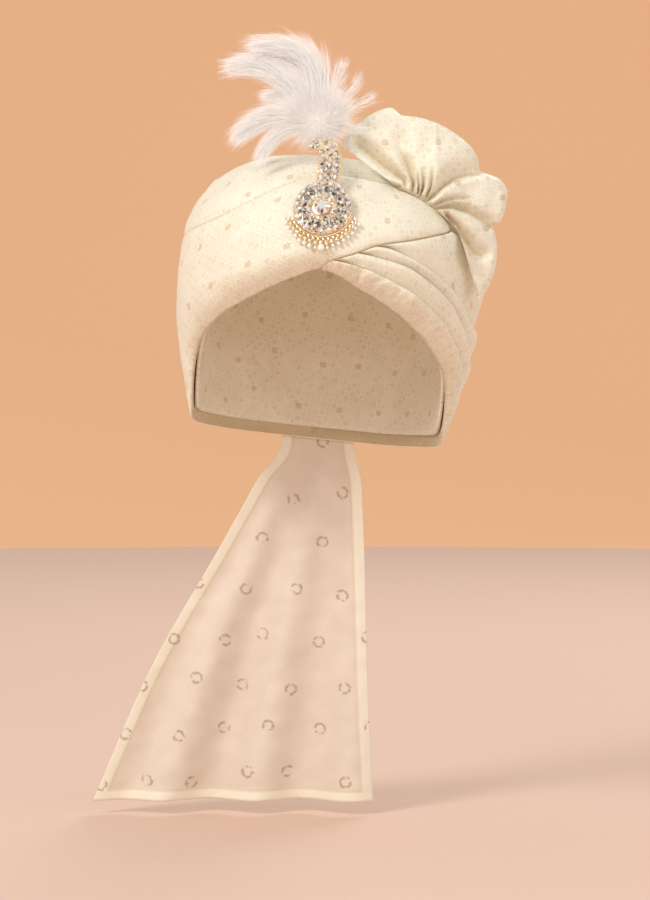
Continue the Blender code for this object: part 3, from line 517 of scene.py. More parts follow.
rim_level_at = through(RIM)
rim_roll_at = through(RIM, 2)
rim_squareness_at = through(RIM, 3)
front_upper = through(FRONT_WRAP_UPPER)
front_lower_front = through(FRONT_WRAP_LOWER_FRONT)
front_lower_back = through(FRONT_WRAP_LOWER_BACK)
side_upper = through(SIDE_WRAP_UPPER)
pleat_upper_edge = through(PLEAT_UPPER_EDGE)
pleat_lower_edge = through(PLEAT_LOWER_EDGE)
rim_wrap_edge = through(RIM_WRAP_EDGE)
top_edge_at = through(TOP_EDGE)


def rim_level(azimuth):
    return rim_level_at(wrap_angle(azimuth))


def top_edge(azimuth):
    return top_edge_at(wrap_angle(azimuth))


def front_lower(azimuth):
    """Lower edge of the front wrap, for azimuths from BACK_END - 360 to FRONT_END."""
    leaves_front, leaves_back = FRONT_WRAP_LOWER_FRONT[0][0], FRONT_WRAP_LOWER_BACK[-1][0]
    at_front = np.where(azimuth > leaves_front, front_lower_front(azimuth), rim_level(azimuth))
    return np.where(azimuth < leaves_back, front_lower_back(azimuth), at_front)


def covered_above(azimuth):
    """The level over which the front wrap hides the wraps on the right."""
    under_front = np.where(azimuth < FRONT_END, front_lower(azimuth), side_upper(azimuth))
    return np.where(azimuth > BACK_END, front_lower(azimuth - FULL_TURN), under_front)


def upper_wrap_lower(azimuth):
    """Lower edge of the upper wrap, for azimuths from -180 to 180."""
    at_side = np.where(azimuth <= FRONT_END, front_upper(azimuth), side_upper(azimuth))
    return np.where(azimuth >= BACK_END, front_upper(azimuth - FULL_TURN), at_side)


def height_at(level):
    return np.interp(np.asarray(level) * ARC, ARC_LENGTHS, ARC_HEIGHTS)


def fullness(azimuth, level):
    """The wound thickness at a place as a share of its full thickness: it rounds off to the rim."""
    wrapped = wrap_angle(azimuth)
    above = np.clip((level - rim_level_at(wrapped)) * ARC / rim_roll_at(wrapped), 0, 1)
    power = rim_squareness_at(wrapped)
    return RIM_DEPTH + (1 - RIM_DEPTH) * (1 - (1 - above) ** power) ** (1 / power)


def inner_skin(azimuth, level):
    return SEAT.point(azimuth, height_at(level) * SEAT.top() / OUTER.top())


def outer_skin(azimuth, level, lift):
    inner = inner_skin(azimuth, level)
    through_wall = OUTER.point(azimuth, height_at(level)) - inner
    thickness = np.linalg.norm(through_wall, axis=-1, keepdims=True)
    depth = fullness(azimuth, level)[..., None] * thickness + np.asarray(lift)[..., None]
    return inner + through_wall / thickness * np.maximum(depth, RIM_DEPTH * thickness)


def front_y(x, z):
    """Y of the wound body's front surface behind a point of the leaned frame."""
    return OUTER.front_face(*unleaned(x, z))


def smooth_step(share):
    share = np.clip(share, 0, 1)
    return share * share * (3 - 2 * share)


def edge_drop(distance, radius):
    """From 1 at an edge to 0 a radius away from it, as a quarter circle."""
    near = np.clip(1 - distance / radius, 0, 1)
    return 1 - np.sqrt(1 - near**2)


def ripples(along, across, seed, length, stretch=1.0, waves=14):
    """Smooth seeded waves of about one length, with a size of about 1, longer along than across by the stretch."""
    pick = np.random.default_rng(seed)
    total = np.zeros(np.broadcast(along, across).shape)
    for _ in range(waves):
        turn = pick.uniform(0, 2 * math.pi)
        size = 2 * math.pi / (length * pick.uniform(0.7, 1.5))
        phase = pick.uniform(0, 2 * math.pi)
        total += np.sin(size * (along * math.cos(turn) / stretch + across * math.sin(turn)) + phase)
    return total / math.sqrt(waves)


def bump_at(azimuth, level, place, size):
    """A rounded bump of height 1 at an (azimuth, level), of a size in metres along and across."""
    along = (azimuth - place[0]) * math.radians(1) * OUTER.half_width / size[0]
    across = (level - place[1]) * ARC / size[1]
    return np.exp(-(along**2) - across**2)


# Meshes


def spread(count, crowd):
    """Shares from 0 to 1 that crowd towards both ends."""
    even = np.linspace(0, 1, count)
    return (1 - crowd) * even + crowd * (1 - np.cos(np.pi * even)) / 2


def quads(rows, columns, close_rows, close_columns):
    """Faces of a grid whose points are numbered row by row."""
    i = np.arange(rows if close_rows else rows - 1)[:, None]
    j = np.arange(columns if close_columns else columns - 1)[None, :]
    next_i, next_j = (i + 1) % rows, (j + 1) % columns
    corners = [i * columns + j, i * columns + next_j, next_i * columns + next_j, next_i * columns + j]
    return np.stack([np.broadcast_to(c, (i.size, j.size)) for c in corners], -1).reshape(-1, 4)


def mesh_of(name, points, faces, layers=None, uv=None):
    """A smooth mesh of points and faces, with float layers on its points and a map in metres."""
    mesh = bpy.data.meshes.new(name)
    mesh.from_pydata(np.asarray(points, float).tolist(), [], [list(map(int, face)) for face in faces])
    work = bmesh.new()
    work.from_mesh(mesh)
    bmesh.ops.recalc_face_normals(work, faces=work.faces)
    work.to_mesh(mesh)
    work.free()
    mesh.shade_smooth()
    for layer, values in (layers or {}).items():
        attribute = mesh.attributes.new(layer, "FLOAT", "POINT")
        attribute.data.foreach_set("value", np.asarray(values, np.float32))
    if uv is not None:
        corner = np.zeros(len(mesh.loops), np.int32)
        mesh.loops.foreach_get("vertex_index", corner)
        mesh.uv_layers.new(name="cloth").data.foreach_set("uv", np.asarray(uv, np.float32)[corner].ravel())
    return mesh


def tube_of(name, rings, layers, uv, closed):
    """A body through rings of points, closed on itself or with its ends drawn in to a point."""
    count, around = rings.shape[:2]
    points = rings.reshape(-1, 3)
    faces = quads(count, around, closed, True).tolist()
    layers = {key: np.asarray(value).ravel() for key, value in layers.items()}
    uv = uv.reshape(-1, 2)
    if not closed:
        for ring, first in ((0, 0), (count - 1, (count - 1) * around)):
            middle = len(points)
            points = np.vstack([points, rings[ring].mean(0)])
            uv = np.vstack([uv, uv[first]])
            layers = {key: np.append(value, value[first]) for key, value in layers.items()}
            faces += [[first + j, first + (j + 1) % around, middle] for j in range(around)]
    return mesh_of(name, points, faces, layers, uv)


def sheet_of(name, front, back, layers, uv):
    """A sheet with a thickness: a front and a back grid of points, joined along their border."""
    rows, columns = front.shape[:2]
    grid = quads(rows, columns, False, False)
    count = rows * columns
    number = np.arange(count).reshape(rows, columns)
    border = np.concatenate([number[0], number[1:, -1], number[-1, -2::-1], number[-2:0:-1, 0]])
    following = np.roll(border, -1)
    strip = np.stack([border, following, following + count, border + count], 1)
    points = np.concatenate([front.reshape(-1, 3), back.reshape(-1, 3)])
    faces = np.concatenate([grid, grid[:, ::-1] + count, strip])
    layers = {key: np.tile(np.asarray(value).ravel(), 2) for key, value in layers.items()}
    return mesh_of(name, points, faces.tolist(), layers, np.tile(uv.reshape(-1, 2), (2, 1)))


def add_piece(name, mesh, material, replaced=(), matrix=None):
    """Adds a piece that rides on the body and stands for the nodes that it replaces."""
    mesh.name = name
    piece = bpy.data.objects.new(name, mesh)
    bpy.context.scene.collection.objects.link(piece)
    if matrix is not None:
        piece.matrix_world = matrix
    if material is not None:
        mesh.materials.append(material)
    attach(piece, BODY)
    if replaced:
        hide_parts(*replaced)
    return piece


def band(name, azimuths, lower, upper, rows, lift_at, uv_at, closed=False, crowd=0.75):
    """A wrap: its outer face between two edges, and its inner face along the crown."""
    azimuth = np.asarray(azimuths, float)[:, None]
    low, high = lower(azimuth), upper(azimuth)
    level = low + (high - low) * spread(rows, crowd)[None, :]
    around = np.broadcast_to(azimuth, level.shape)
    lift, painted_crease_shade = lift_at(around, level, (level - low) * ARC, (high - level) * ARC)
    outer = leaned(outer_skin(around, level, lift))
    inner_level = high + (low - high) * np.linspace(0, 1, 8)[None, :]
    inner_around = np.broadcast_to(azimuth, inner_level.shape)
    inner = leaned(inner_skin(inner_around, inner_level))
    rings = np.concatenate([outer, inner], 1)
    all_levels = np.concatenate([level, inner_level], 1)
    uv = uv_at(np.broadcast_to(azimuth, all_levels.shape), all_levels)
    # painted shade: full over the inner face that lies against the crown, and the wrap's own painted crease shade on
    # its outer face
    painted_crease_shades = np.concatenate([painted_crease_shade, np.ones(inner_level.shape)], 1)
    return tube_of(name, rings, {"painted_crease_shade": painted_crease_shades}, uv, closed)


# Materials


class Nodes:
    """Short ways to add nodes to a material."""

    def __init__(self, name):
        self.material = bpy.data.materials.new(name)
        self.material.use_nodes = True
        self.tree = self.material.node_tree
        self.shader = self.tree.nodes["Principled BSDF"]

    def add(self, kind, **settings):
        node = self.tree.nodes.new(kind)
        for key, value in settings.items():
            setattr(node, key, value)
        return node

    def put(self, socket, value):
        if isinstance(value, bpy.types.NodeSocket):
            self.tree.links.new(value, socket)
        else:
            socket.default_value = value

    def math(self, operation, *values, clamp=False):
        node = self.add("ShaderNodeMath", operation=operation, use_clamp=clamp)
        for socket, value in zip(node.inputs, values):
            self.put(socket, value)
        return node.outputs[0]

    def vector(self, operation, *values):
        node = self.add("ShaderNodeVectorMath", operation=operation)
        for socket, value in zip(node.inputs, values):
            self.put(socket, value)
        return node.outputs["Value" if operation in ("LENGTH", "DISTANCE", "DOT_PRODUCT") else "Vector"]

    def ramp(self, value, low, high):
        """0 below one value and 1 above another, smooth between."""
        node = self.add("ShaderNodeMapRange", interpolation_type="SMOOTHSTEP")
        for socket, given in zip(node.inputs, (value, low, high)):
            self.put(socket, given)
        return node.outputs[0]

    def mix(self, share, one, other):
        """A colour between two."""
        node = self.add("ShaderNodeMix", data_type="RGBA")
        sockets = [s for s in node.inputs if s.enabled]
        for socket, value in zip(sockets, (share, one, other)):
            self.put(socket, (*value, 1) if isinstance(value, tuple) else value)
        return next(s for s in node.outputs if s.enabled)

    def noise(self, vector, scale, detail=3.0, roughness=0.5):
        node = self.add("ShaderNodeTexNoise")
        self.put(node.inputs["Vector"], vector)
        node.inputs["Scale"].default_value = scale
        node.inputs["Detail"].default_value = detail
        node.inputs["Roughness"].default_value = roughness
        return node.outputs[0]

    def cells(self, vector, size, stagger=False):
        """Number of the cell at a place, and the place in it from -0.5 to 0.5."""
        scaled = self.vector("SCALE", vector)
        scaled.node.inputs["Scale"].default_value = 1 / size
        if stagger:
            parts = self.add("ShaderNodeSeparateXYZ")
            self.put(parts.inputs[0], scaled)
            row = self.math("FLOOR", parts.outputs[1])
            half = self.math("MULTIPLY", self.math("MODULO", row, 2.0), 0.5)
            join = self.add("ShaderNodeCombineXYZ")
            self.put(join.inputs[0], self.math("ADD", parts.outputs[0], half))
            self.put(join.inputs[1], parts.outputs[1])
            scaled = join.outputs[0]
        number = self.vector("FLOOR", scaled)
        inside = self.vector("SUBTRACT", self.vector("FRACTION", scaled), (0.5, 0.5, 0.5))
        return number, inside

    def dice(self, vector):
        """A seeded number from 0 to 1, and a seeded colour, for each whole vector."""
        node = self.add("ShaderNodeTexWhiteNoise", noise_dimensions="3D")
        self.put(node.inputs["Vector"], vector)
        return node.outputs["Value"], node.outputs["Color"]

    def spans(self, inside):
        """Half sizes of the square, the circle and the diamond through a place in a cell."""
        flat = self.vector("MULTIPLY", inside, (1.0, 1.0, 0.0))
        size = self.vector("ABSOLUTE", flat)
        parts = self.add("ShaderNodeSeparateXYZ")
        self.put(parts.inputs[0], size)
        square = self.math("MAXIMUM", parts.outputs[0], parts.outputs[1])
        diamond = self.math("MULTIPLY", self.math("ADD", parts.outputs[0], parts.outputs[1]), 0.72)
        return square, self.vector("LENGTH", flat), diamond

    def line(self, span, radius, half_width):
        """1 on a closed line of a span, 0 away from it."""
        away = self.math("ABSOLUTE", self.math("SUBTRACT", span, radius))
        return self.math("SUBTRACT", 1.0, self.ramp(away, half_width * 0.5, half_width))

    def pick(self, share, one, other):
        return self.math("ADD", one, self.math("MULTIPLY", share, self.math("SUBTRACT", other, one)))

    def bump(self, height, distance, strength=1.0):
        node = self.add("ShaderNodeBump")
        node.inputs["Distance"].default_value = distance
        node.inputs["Strength"].default_value = strength
        self.put(node.inputs["Height"], height)
        self.put(self.shader.inputs["Normal"], node.outputs[0])


MOTIF = 0.0052  # pitch of the small woven figures
SPRIG = 0.0300  # pitch of the tan sprigs
THREAD = 0.00052
CREAM = (0.790, 0.720, 0.555)
CREAM_BRIGHT = (0.850, 0.795, 0.645)
CREAM_DEEP = (0.690, 0.610, 0.440)
CREAM_LINE = (0.950, 0.915, 0.800)
TAN = (0.580, 0.420, 0.235)
# painted shade: the warm ochre mixed into the cloth in its creases, folds and tucks
PAINTED_SHADE_OCHRE = (0.470, 0.330, 0.120)
REVERSE = (0.800, 0.700, 0.590)
REVERSE_DEEP = (0.755, 0.655, 0.545)
BROWN = (0.300, 0.180, 0.085)


def woven_figures(nodes, place):
    """The self-coloured figures: squares, circles and diamonds in a slanted lattice, each a line round a middle."""
    slanted = nodes.add("ShaderNodeVectorRotate", rotation_type="Z_AXIS")
    nodes.put(slanted.inputs["Vector"], place)
    slanted.inputs["Angle"].default_value = math.radians(38)
    number, inside = nodes.cells(slanted.outputs[0], MOTIF)
    chance, colour = nodes.dice(number)
    square, circle, diamond = nodes.spans(inside)
    round_one = nodes.math("GREATER_THAN", chance, 0.62)
    pointed = nodes.math("GREATER_THAN", chance, 0.84)
    span = nodes.pick(pointed, nodes.pick(round_one, square, circle), diamond)
    split = nodes.add("ShaderNodeSeparateColor")
    nodes.put(split.inputs[0], colour)
    radius = nodes.math("ADD", 0.30, nodes.math("MULTIPLY", split.outputs[0], 0.16))
    outline = nodes.line(span, radius, 0.115)
    nested = nodes.math("GREATER_THAN", split.outputs[1], 0.55)
    inner = nodes.math("MULTIPLY", nested, nodes.line(span, nodes.math("MULTIPLY", radius, 0.42), 0.085))
    lines = nodes.math("MAXIMUM", outline, inner)
    filled = nodes.math("SUBTRACT", 1.0, nodes.ramp(span, radius, nodes.math("ADD", radius, 0.03)))
    fill = nodes.math("MULTIPLY", filled, nodes.math("GREATER_THAN", split.outputs[2], 0.35))
    return lines, fill


def tan_sprigs(nodes, place):
    """Sparse tan sprigs in staggered cells: a small worn square with a paler middle."""
    number, inside = nodes.cells(place, SPRIG, stagger=True)
    _, colour = nodes.dice(number)
    shift = nodes.vector("SUBTRACT", colour, (0.5, 0.5, 0.5))
    moved = nodes.vector("SCALE", shift)
    moved.node.inputs["Scale"].default_value = 0.35
    square, circle, _ = nodes.spans(nodes.vector("ADD", inside, moved))
    span = nodes.math("ADD", nodes.math("MULTIPLY", square, 0.6), nodes.math("MULTIPLY", circle, 0.4))
    worn = nodes.math("MULTIPLY", nodes.math("SUBTRACT", nodes.noise(place, 900.0, 2.0), 0.5), 0.05)
    span = nodes.math("ADD", span, worn)
    body = nodes.math("SUBTRACT", 1.0, nodes.ramp(span, 0.045, 0.085))
    middle = nodes.math("SUBTRACT", 1.0, nodes.ramp(span, 0.015, 0.045))
    return nodes.math("SUBTRACT", nodes.math("MULTIPLY", body, 0.62), nodes.math("MULTIPLY", middle, 0.22), clamp=True)


def thread_bump(nodes, place):
    """The weave: fine threads crossed by a slow unevenness."""
    wave = nodes.add("ShaderNodeTexWave", wave_type="BANDS", bands_direction="DIAGONAL", wave_profile="SIN")
    nodes.put(wave.inputs["Vector"], place)
    wave.inputs["Scale"].default_value = 0.314 / THREAD
    wave.inputs["Distortion"].default_value = 0.6
    return nodes.math("ADD", nodes.math("MULTIPLY", wave.outputs["Fac"], 0.25), nodes.noise(place, 1400.0, 2.0))


def cloth_place(nodes):
    layer = nodes.add("ShaderNodeUVMap")
    layer.uv_map = "cloth"
    return layer.outputs[0]


def crease_shade(nodes, colour):
    """Paints shade into the colour: deepens it to a warm ochre where the painted crease-shade mask marks creases,
    folds and tucked edges.
    """
    painted_crease_shade = nodes.add("ShaderNodeAttribute", attribute_name="painted_crease_shade").outputs["Fac"]
    return nodes.mix(nodes.math("MULTIPLY", painted_crease_shade, 0.62), colour, PAINTED_SHADE_OCHRE)


def brocade_material():
    nodes = Nodes("cream_brocade")
    place = cloth_place(nodes)
    lines, fill = woven_figures(nodes, place)
    sprigs = tan_sprigs(nodes, place)
    slow = nodes.noise(place, 38.0, 2.0)
    colour = nodes.mix(nodes.ramp(slow, 0.35, 0.68), CREAM, CREAM_BRIGHT)
    colour = nodes.mix(nodes.math("MULTIPLY", fill, 0.26), colour, CREAM_DEEP)
    colour = nodes.mix(nodes.math("MULTIPLY", lines, 0.60), colour, CREAM_LINE)
    colour = nodes.mix(sprigs, colour, TAN)
    # painted shade in the creases and tucks, mixed over the woven colour
    nodes.put(nodes.shader.inputs["Base Color"], crease_shade(nodes, colour))
    nodes.put(nodes.shader.inputs["Roughness"], nodes.pick(lines, 0.58, 0.40))
    nodes.shader.inputs["Sheen Weight"].default_value = 0.25
    nodes.shader.inputs["Sheen Roughness"].default_value = 0.4
    relief = nodes.math("ADD", nodes.math("MULTIPLY", lines, 0.8), nodes.math("MULTIPLY", sprigs, 0.9))
    nodes.bump(nodes.math("ADD", relief, thread_bump(nodes, place)), 0.00022, 0.6)
    return nodes.material


def reverse_material():
    """The plain side of the cloth: pinkish cream with the sprigs showing as thin brown rings."""
    nodes = Nodes("brocade_reverse")
    place = cloth_place(nodes)
    number, inside = nodes.cells(place, 0.034, stagger=True)
    _, colour = nodes.dice(number)
    moved = nodes.vector("SCALE", nodes.vector("SUBTRACT", colour, (0.5, 0.5, 0.5)))
    moved.node.inputs["Scale"].default_value = 0.3
    _, circle, _ = nodes.spans(nodes.vector("ADD", inside, moved))
    ragged = nodes.math("MULTIPLY", nodes.math("SUBTRACT", nodes.noise(place, 420.0, 2.0), 0.5), 0.07)
    ring = nodes.line(nodes.math("ADD", circle, ragged), 0.105, 0.036)
    broken = nodes.ramp(nodes.noise(place, 260.0, 1.0), 0.38, 0.55)
    ring = nodes.math("MULTIPLY", ring, broken)
    slow = nodes.noise(place, 45.0, 3.0)
    colour = nodes.mix(nodes.ramp(slow, 0.35, 0.68), REVERSE_DEEP, REVERSE)
    hem = nodes.add("ShaderNodeAttribute", attribute_name="hem").outputs["Fac"]
    colour = nodes.mix(hem, colour, (0.900, 0.840, 0.690))
    colour = nodes.mix(nodes.math("MULTIPLY", ring, 0.55), colour, BROWN)
    # painted shade in the creases and along the stitch line, mixed over the cloth's colour
    nodes.put(nodes.shader.inputs["Base Color"], crease_shade(nodes, colour))
    nodes.shader.inputs["Roughness"].default_value = 0.62
    nodes.shader.inputs["Sheen Weight"].default_value = 0.25
    nodes.bump(thread_bump(nodes, place), 0.00022, 0.6)
    return nodes.material


def gold_material():
    nodes = Nodes("pale_gold")
    place = nodes.add("ShaderNodeTexCoord").outputs["Object"]
    worn = nodes.noise(place, 900.0, 3.0)
    nodes.put(nodes.shader.inputs["Base Color"], nodes.mix(worn, (0.86, 0.69, 0.42), (0.97, 0.87, 0.66)))
    nodes.put(nodes.shader.inputs["Roughness"], nodes.pick(worn, 0.16, 0.34))
    nodes.shader.inputs["Metallic"].default_value = 1.0
    nodes.bump(worn, 0.00008, 0.5)
    return nodes.material


def stone_material():
    """Foil-backed stones under a hard clear gloss, with painted reflections: each facet's colour is the stone's own
    tone spread at random to dark or bright.
    """
    nodes = Nodes("clear_stone")
    tone_and_reflection = nodes.add("ShaderNodeAttribute", attribute_name="tone_and_reflection").outputs["Fac"]
    nodes.put(nodes.shader.inputs["Base Color"], nodes.mix(tone_and_reflection, (0.06, 0.06, 0.075), (0.97, 0.97, 0.98)))
    nodes.shader.inputs["Metallic"].default_value = 0.55
    nodes.put(nodes.shader.inputs["Roughness"], nodes.pick(tone_and_reflection, 0.03, 0.12))
    nodes.shader.inputs["Coat Weight"].default_value = 1.0
    nodes.shader.inputs["Coat Roughness"].default_value = 0.02
    return nodes.material


def pearl_material():
    nodes = Nodes("pearl")
    place = nodes.add("ShaderNodeTexCoord").outputs["Object"]
    cloud = nodes.noise(place, 350.0, 2.0)
    nodes.put(nodes.shader.inputs["Base Color"], nodes.mix(cloud, (0.90, 0.85, 0.78), (0.96, 0.93, 0.89)))
    nodes.put(nodes.shader.inputs["Roughness"], nodes.pick(cloud, 0.16, 0.24))
    nodes.shader.inputs["Coat Weight"].default_value = 0.6
    nodes.shader.inputs["Coat Roughness"].default_value = 0.08
    return nodes.material


def feather_material():
    nodes = Nodes("white_feather")
    along = nodes.add("ShaderNodeAttribute", attribute_name="along").outputs["Fac"]
    nodes.put(nodes.shader.inputs["Base Color"], nodes.mix(along, (0.90, 0.87, 0.85), (0.97, 0.95, 0.94)))
    nodes.put(nodes.shader.inputs["Roughness"], nodes.pick(along, 0.80, 0.65))
    nodes.shader.inputs["Sheen Weight"].default_value = 0.3
    return nodes.material


def stage_material(name, one, other):
    nodes = Nodes(name)
    place = nodes.add("ShaderNodeTexCoord").outputs["Object"]
    cloud = nodes.noise(place, 1.2, 2.0)
    nodes.put(nodes.shader.inputs["Base Color"], nodes.mix(cloud, one, other))
    nodes.shader.inputs["Roughness"].default_value = 0.9
    nodes.shader.inputs["Specular IOR Level"].default_value = 0.1
    return nodes.material


# Wraps


def band_map(lower, upper, radius):
    """Map of a wrap: metres along its middle line and metres across from it."""

    def at(azimuth, level):
        middle = (lower(azimuth) + upper(azimuth)) / 2
        return np.stack([np.radians(azimuth) * radius, (level - middle) * ARC], -1)

    return at


def cap_map(azimuth, level):
    """Map of the cloth over the top: distance from the top, turned with the azimuth."""
    reach = (1 - level) * ARC
    angle = np.radians(azimuth)
    return np.stack([reach * np.sin(angle), -reach * np.cos(angle)], -1)


def front_wrap_lift(azimuth, level, from_low, from_high):
    along, across = np.radians(azimuth) * OUTER.half_width, level * ARC
    free = smooth_step((level - from_low / ARC - rim_level(azimuth)) * ARC / 0.007)
    end = smooth_step((FRONT_END - azimuth) / 9)
    fading = 0.30 + 0.70 * smooth_step((azimuth + 66) / 30)
    back = smooth_step((-120 - azimuth) / 30)
    upper = np.maximum(fading, back)
    lift = 0.0004 + 0.0004 * ripples(along, across, SEED, 0.060, 2.0)
    lift += 0.00012 * ripples(along, across, SEED + 1, 0.016, 1.5)
    lift -= (0.0030 * free) * edge_drop(from_low, 0.0060)
    lift -= 0.0024 * upper * edge_drop(from_high, 0.0045)
    lift -= 0.0010 * (1 - end)
    # painted shade along the free lower edge where it folds under, and along the upper edge where it rolls in
    painted_crease_shade = smooth_step(1 - from_low / 0.0016) * free
    painted_crease_shade = np.maximum(painted_crease_shade, upper * 0.6 * smooth_step(1 - from_high / 0.0012))
    return lift + rim_scallops(azimuth, level), painted_crease_shade


# Small notches and rolls of the rim on the left: azimuth, level, size along, size across, lift
LEFT_RIM_MARKS = [
    (-22.0, 0.392, 0.0025, 0.0050, -0.0016),
    (-33.5, 0.352, 0.0024, 0.0050, -0.0018),
    (-42.0, 0.322, 0.0022, 0.0045, -0.0020),
    (-58.0, 0.262, 0.0026, 0.0060, -0.0016),
    (-28.0, 0.385, 0.0090, 0.0050, 0.0008),
    (-50.0, 0.300, 0.0110, 0.0060, 0.0008),
]


def rim_scallops(azimuth, level):
    lift = np.zeros(np.shape(level))
    for place, height, wide, tall, amount in LEFT_RIM_MARKS:
        lift += amount * bump_at(azimuth, level, (place, height), (wide, tall))
    return lift


def upper_wrap_lift(azimuth, level, from_low, from_high):
    along, across = np.radians(azimuth) * OUTER.half_width, level * ARC
    lift = 0.0006 + 0.0004 * ripples(along, across, SEED + 2, 0.055, 1.6)
    lift += 0.00012 * ripples(along, across, SEED + 3, 0.015, 1.5)
    front = smooth_step((azimuth + 70) / 40) * smooth_step((FRONT_END + 40 - azimuth) / 30)
    lift -= (0.0030 + 0.0025 * front) * edge_drop(from_low, 0.016)
    lift -= UPPER_WRAP_SINK * edge_drop(from_high, 0.009)
    # painted shade along the lower edge, where the wrap sinks in
    painted_crease_shade = 0.8 * smooth_step(1 - from_low / 0.0022)
    turned = np.mod(azimuth, FULL_TURN)
    for line in LAYER_LINES:
        start, end = line[0][0], line[-1][0]
        over = (level - through(line)(turned)) * ARC
        inside = smooth_step((turned - start) / 14) * smooth_step((end - turned) / 14)
        below = smooth_step(1 + over / LAYER_SLOPE) * (over < 0)
        lift += inside * LAYER_STEP * below * (1 - edge_drop(-over, 0.0022) * (over < 0))
        # painted shade along each step between the layers
        painted_crease_shade = np.maximum(painted_crease_shade, inside * 0.7 * np.exp(-((over / 0.0008) ** 2)))
    return lift, painted_crease_shade


def pleat_lift(azimuth, level, from_low, from_high):
    """A wrap on the right: full along its upper edge, and sinking under the next one at its lower edge."""
    width = np.maximum(from_low + from_high, 1e-5)
    share = from_low / width
    along, across = np.radians(azimuth) * OUTER.half_width, level * ARC
    lift = 0.0004 - 0.0040 * (1 - smooth_step(share / 0.75)) ** 1.2
    lift -= 0.0024 * edge_drop(from_high, 0.0032)
    lift += 0.00025 * ripples(along, across, SEED + 5, 0.030, 2.5)
    lift += 0.00010 * ripples(along, across, SEED + 6, 0.010, 1.5)
    # painted shade along both edges, where the wrap meets the next one
    painted_crease_shade = np.maximum(smooth_step(1 - from_low / 0.0020), 0.8 * smooth_step(1 - from_high / 0.0011))
    return lift, painted_crease_shade


# Lumps of the rolled rim on the right: azimuth, level, size along, size across, lift
RIGHT_RIM_LUMPS = [
    (2.5, 0.440, 0.0100, 0.0055, 0.0022),
    (9.5, 0.412, 0.0016, 0.0050, -0.0035),
    (13.0, 0.425, 0.0060, 0.0060, 0.0012),
    (24.0, 0.372, 0.0030, 0.0050, -0.0018),
    (30.0, 0.352, 0.0035, 0.0060, 0.0016),
    (38.0, 0.322, 0.0030, 0.0050, -0.0016),
    (47.0, 0.292, 0.0060, 0.0060, 0.0014),
    (57.0, 0.245, 0.0030, 0.0055, -0.0016),
]


def rim_wrap_lift(azimuth, level, from_low, from_high):
    along, across = np.radians(azimuth) * OUTER.half_width, level * ARC
    lift = 0.0004 - 0.0026 * edge_drop(from_high, 0.0036)
    lift += 0.0003 * ripples(along, across, SEED + 7, 0.030, 2.0)
    near_rim = smooth_step(1 - from_low / 0.016) * smooth_step((azimuth + 5) / 12)
    near_rim = near_rim * (0.35 + 0.65 * smooth_step((115 - azimuth) / 30))
    lift += 0.0009 * near_rim * ripples(along, across, SEED + 8, 0.009, 1.2)
    lift += 0.0004 * near_rim * ripples(along, across, SEED + 9, 0.0042, 1.0)
    for place, height, wide, tall, amount in RIGHT_RIM_LUMPS:
        lift += amount * bump_at(azimuth, level, (place, height), (wide, tall))
    # painted shade along the upper edge and, more faintly, over the rumpled band near the rim
    painted_crease_shade = 0.8 * smooth_step(1 - from_high / 0.0012)
    return lift, np.maximum(painted_crease_shade, 0.25 * near_rim)


def crossing(lower, upper, wide, narrow):
    """The azimuth between a wide place and a narrow one where a wrap is at its narrowest."""
    for _ in range(40):
        middle = (wide + narrow) / 2
        if (upper(middle) - lower(middle)) * ARC > 0.0006:
            wide = middle
        else:
            narrow = middle
    return wide


def declare_band(lower, upper, azimuths):
    """Finds the points along a wrap's middle line on its outer face; nothing is done with them."""
    azimuth = np.asarray(azimuths, float)
    middle = (lower(azimuth) + upper(azimuth)) / 2
    line = leaned(outer_skin(azimuth, middle, np.zeros(len(azimuth))))


def make_wraps(cloth):
    azimuths = np.linspace(BACK_END - FULL_TURN, FRONT_END, 400)
    azimuths = np.sort(np.append(azimuths, np.linspace(FRONT_END - 4, FRONT_END, 22)[:-1]))
    mesh = band(
        "front_wrap_cloth",
        azimuths,
        front_lower,
        front_upper,
        76,
        front_wrap_lift,
        band_map(front_lower, front_upper, OUTER.half_width),
    )
    piece = add_piece("front_wrap_cloth", mesh, cloth, ["front_wrap"])
    declare_band(front_lower, front_upper, azimuths)

    azimuths = np.arange(-180, 180, 1.0)
    mesh = band("upper_wrap_cloth", azimuths, upper_wrap_lower, top_edge, 90, upper_wrap_lift, cap_map, closed=True, crowd=0.3)
    piece = add_piece("upper_wrap_cloth", mesh, cloth, ["upper_wrap"])
    declare_band(upper_wrap_lower, top_edge, azimuths)

    make_right_wrap("side_wrap", pleat_upper_edge, covered_above, pleat_lift, cloth, 56)
    make_right_wrap("pleat_upper", pleat_lower_edge, pleat_upper_edge, pleat_lift, cloth, 40)
    make_right_wrap("pleat_lower", rim_wrap_edge, pleat_lower_edge, pleat_lift, cloth, 40)
    make_right_wrap("rim_wrap", rim_level, rim_wrap_edge, rim_wrap_lift, cloth, 60)


def make_right_wrap(name, lower, edge, lift_at, cloth, rows):
    """A wrap on the right, between two creases, that goes under the front wrap at both its ends."""

    def upper(azimuth):
        return np.minimum(edge(azimuth), covered_above(azimuth))

    start = crossing(lower, upper, FRONT_END, FRONT_WRAP_LOWER_FRONT[0][0])
    end = crossing(lower, upper, FRONT_END, FRONT_WRAP_LOWER_BACK[-1][0] + FULL_TURN)
    azimuths = start + (end - start) * spread(260, 0.4)
    uv_at = band_map(lower, upper, OUTER.half_width)
    mesh = band(name, azimuths, lower, upper, rows, lift_at, uv_at)
    piece = add_piece(f"{name}_cloth", mesh, cloth, [name])
    declare_band(lower, upper, azimuths)


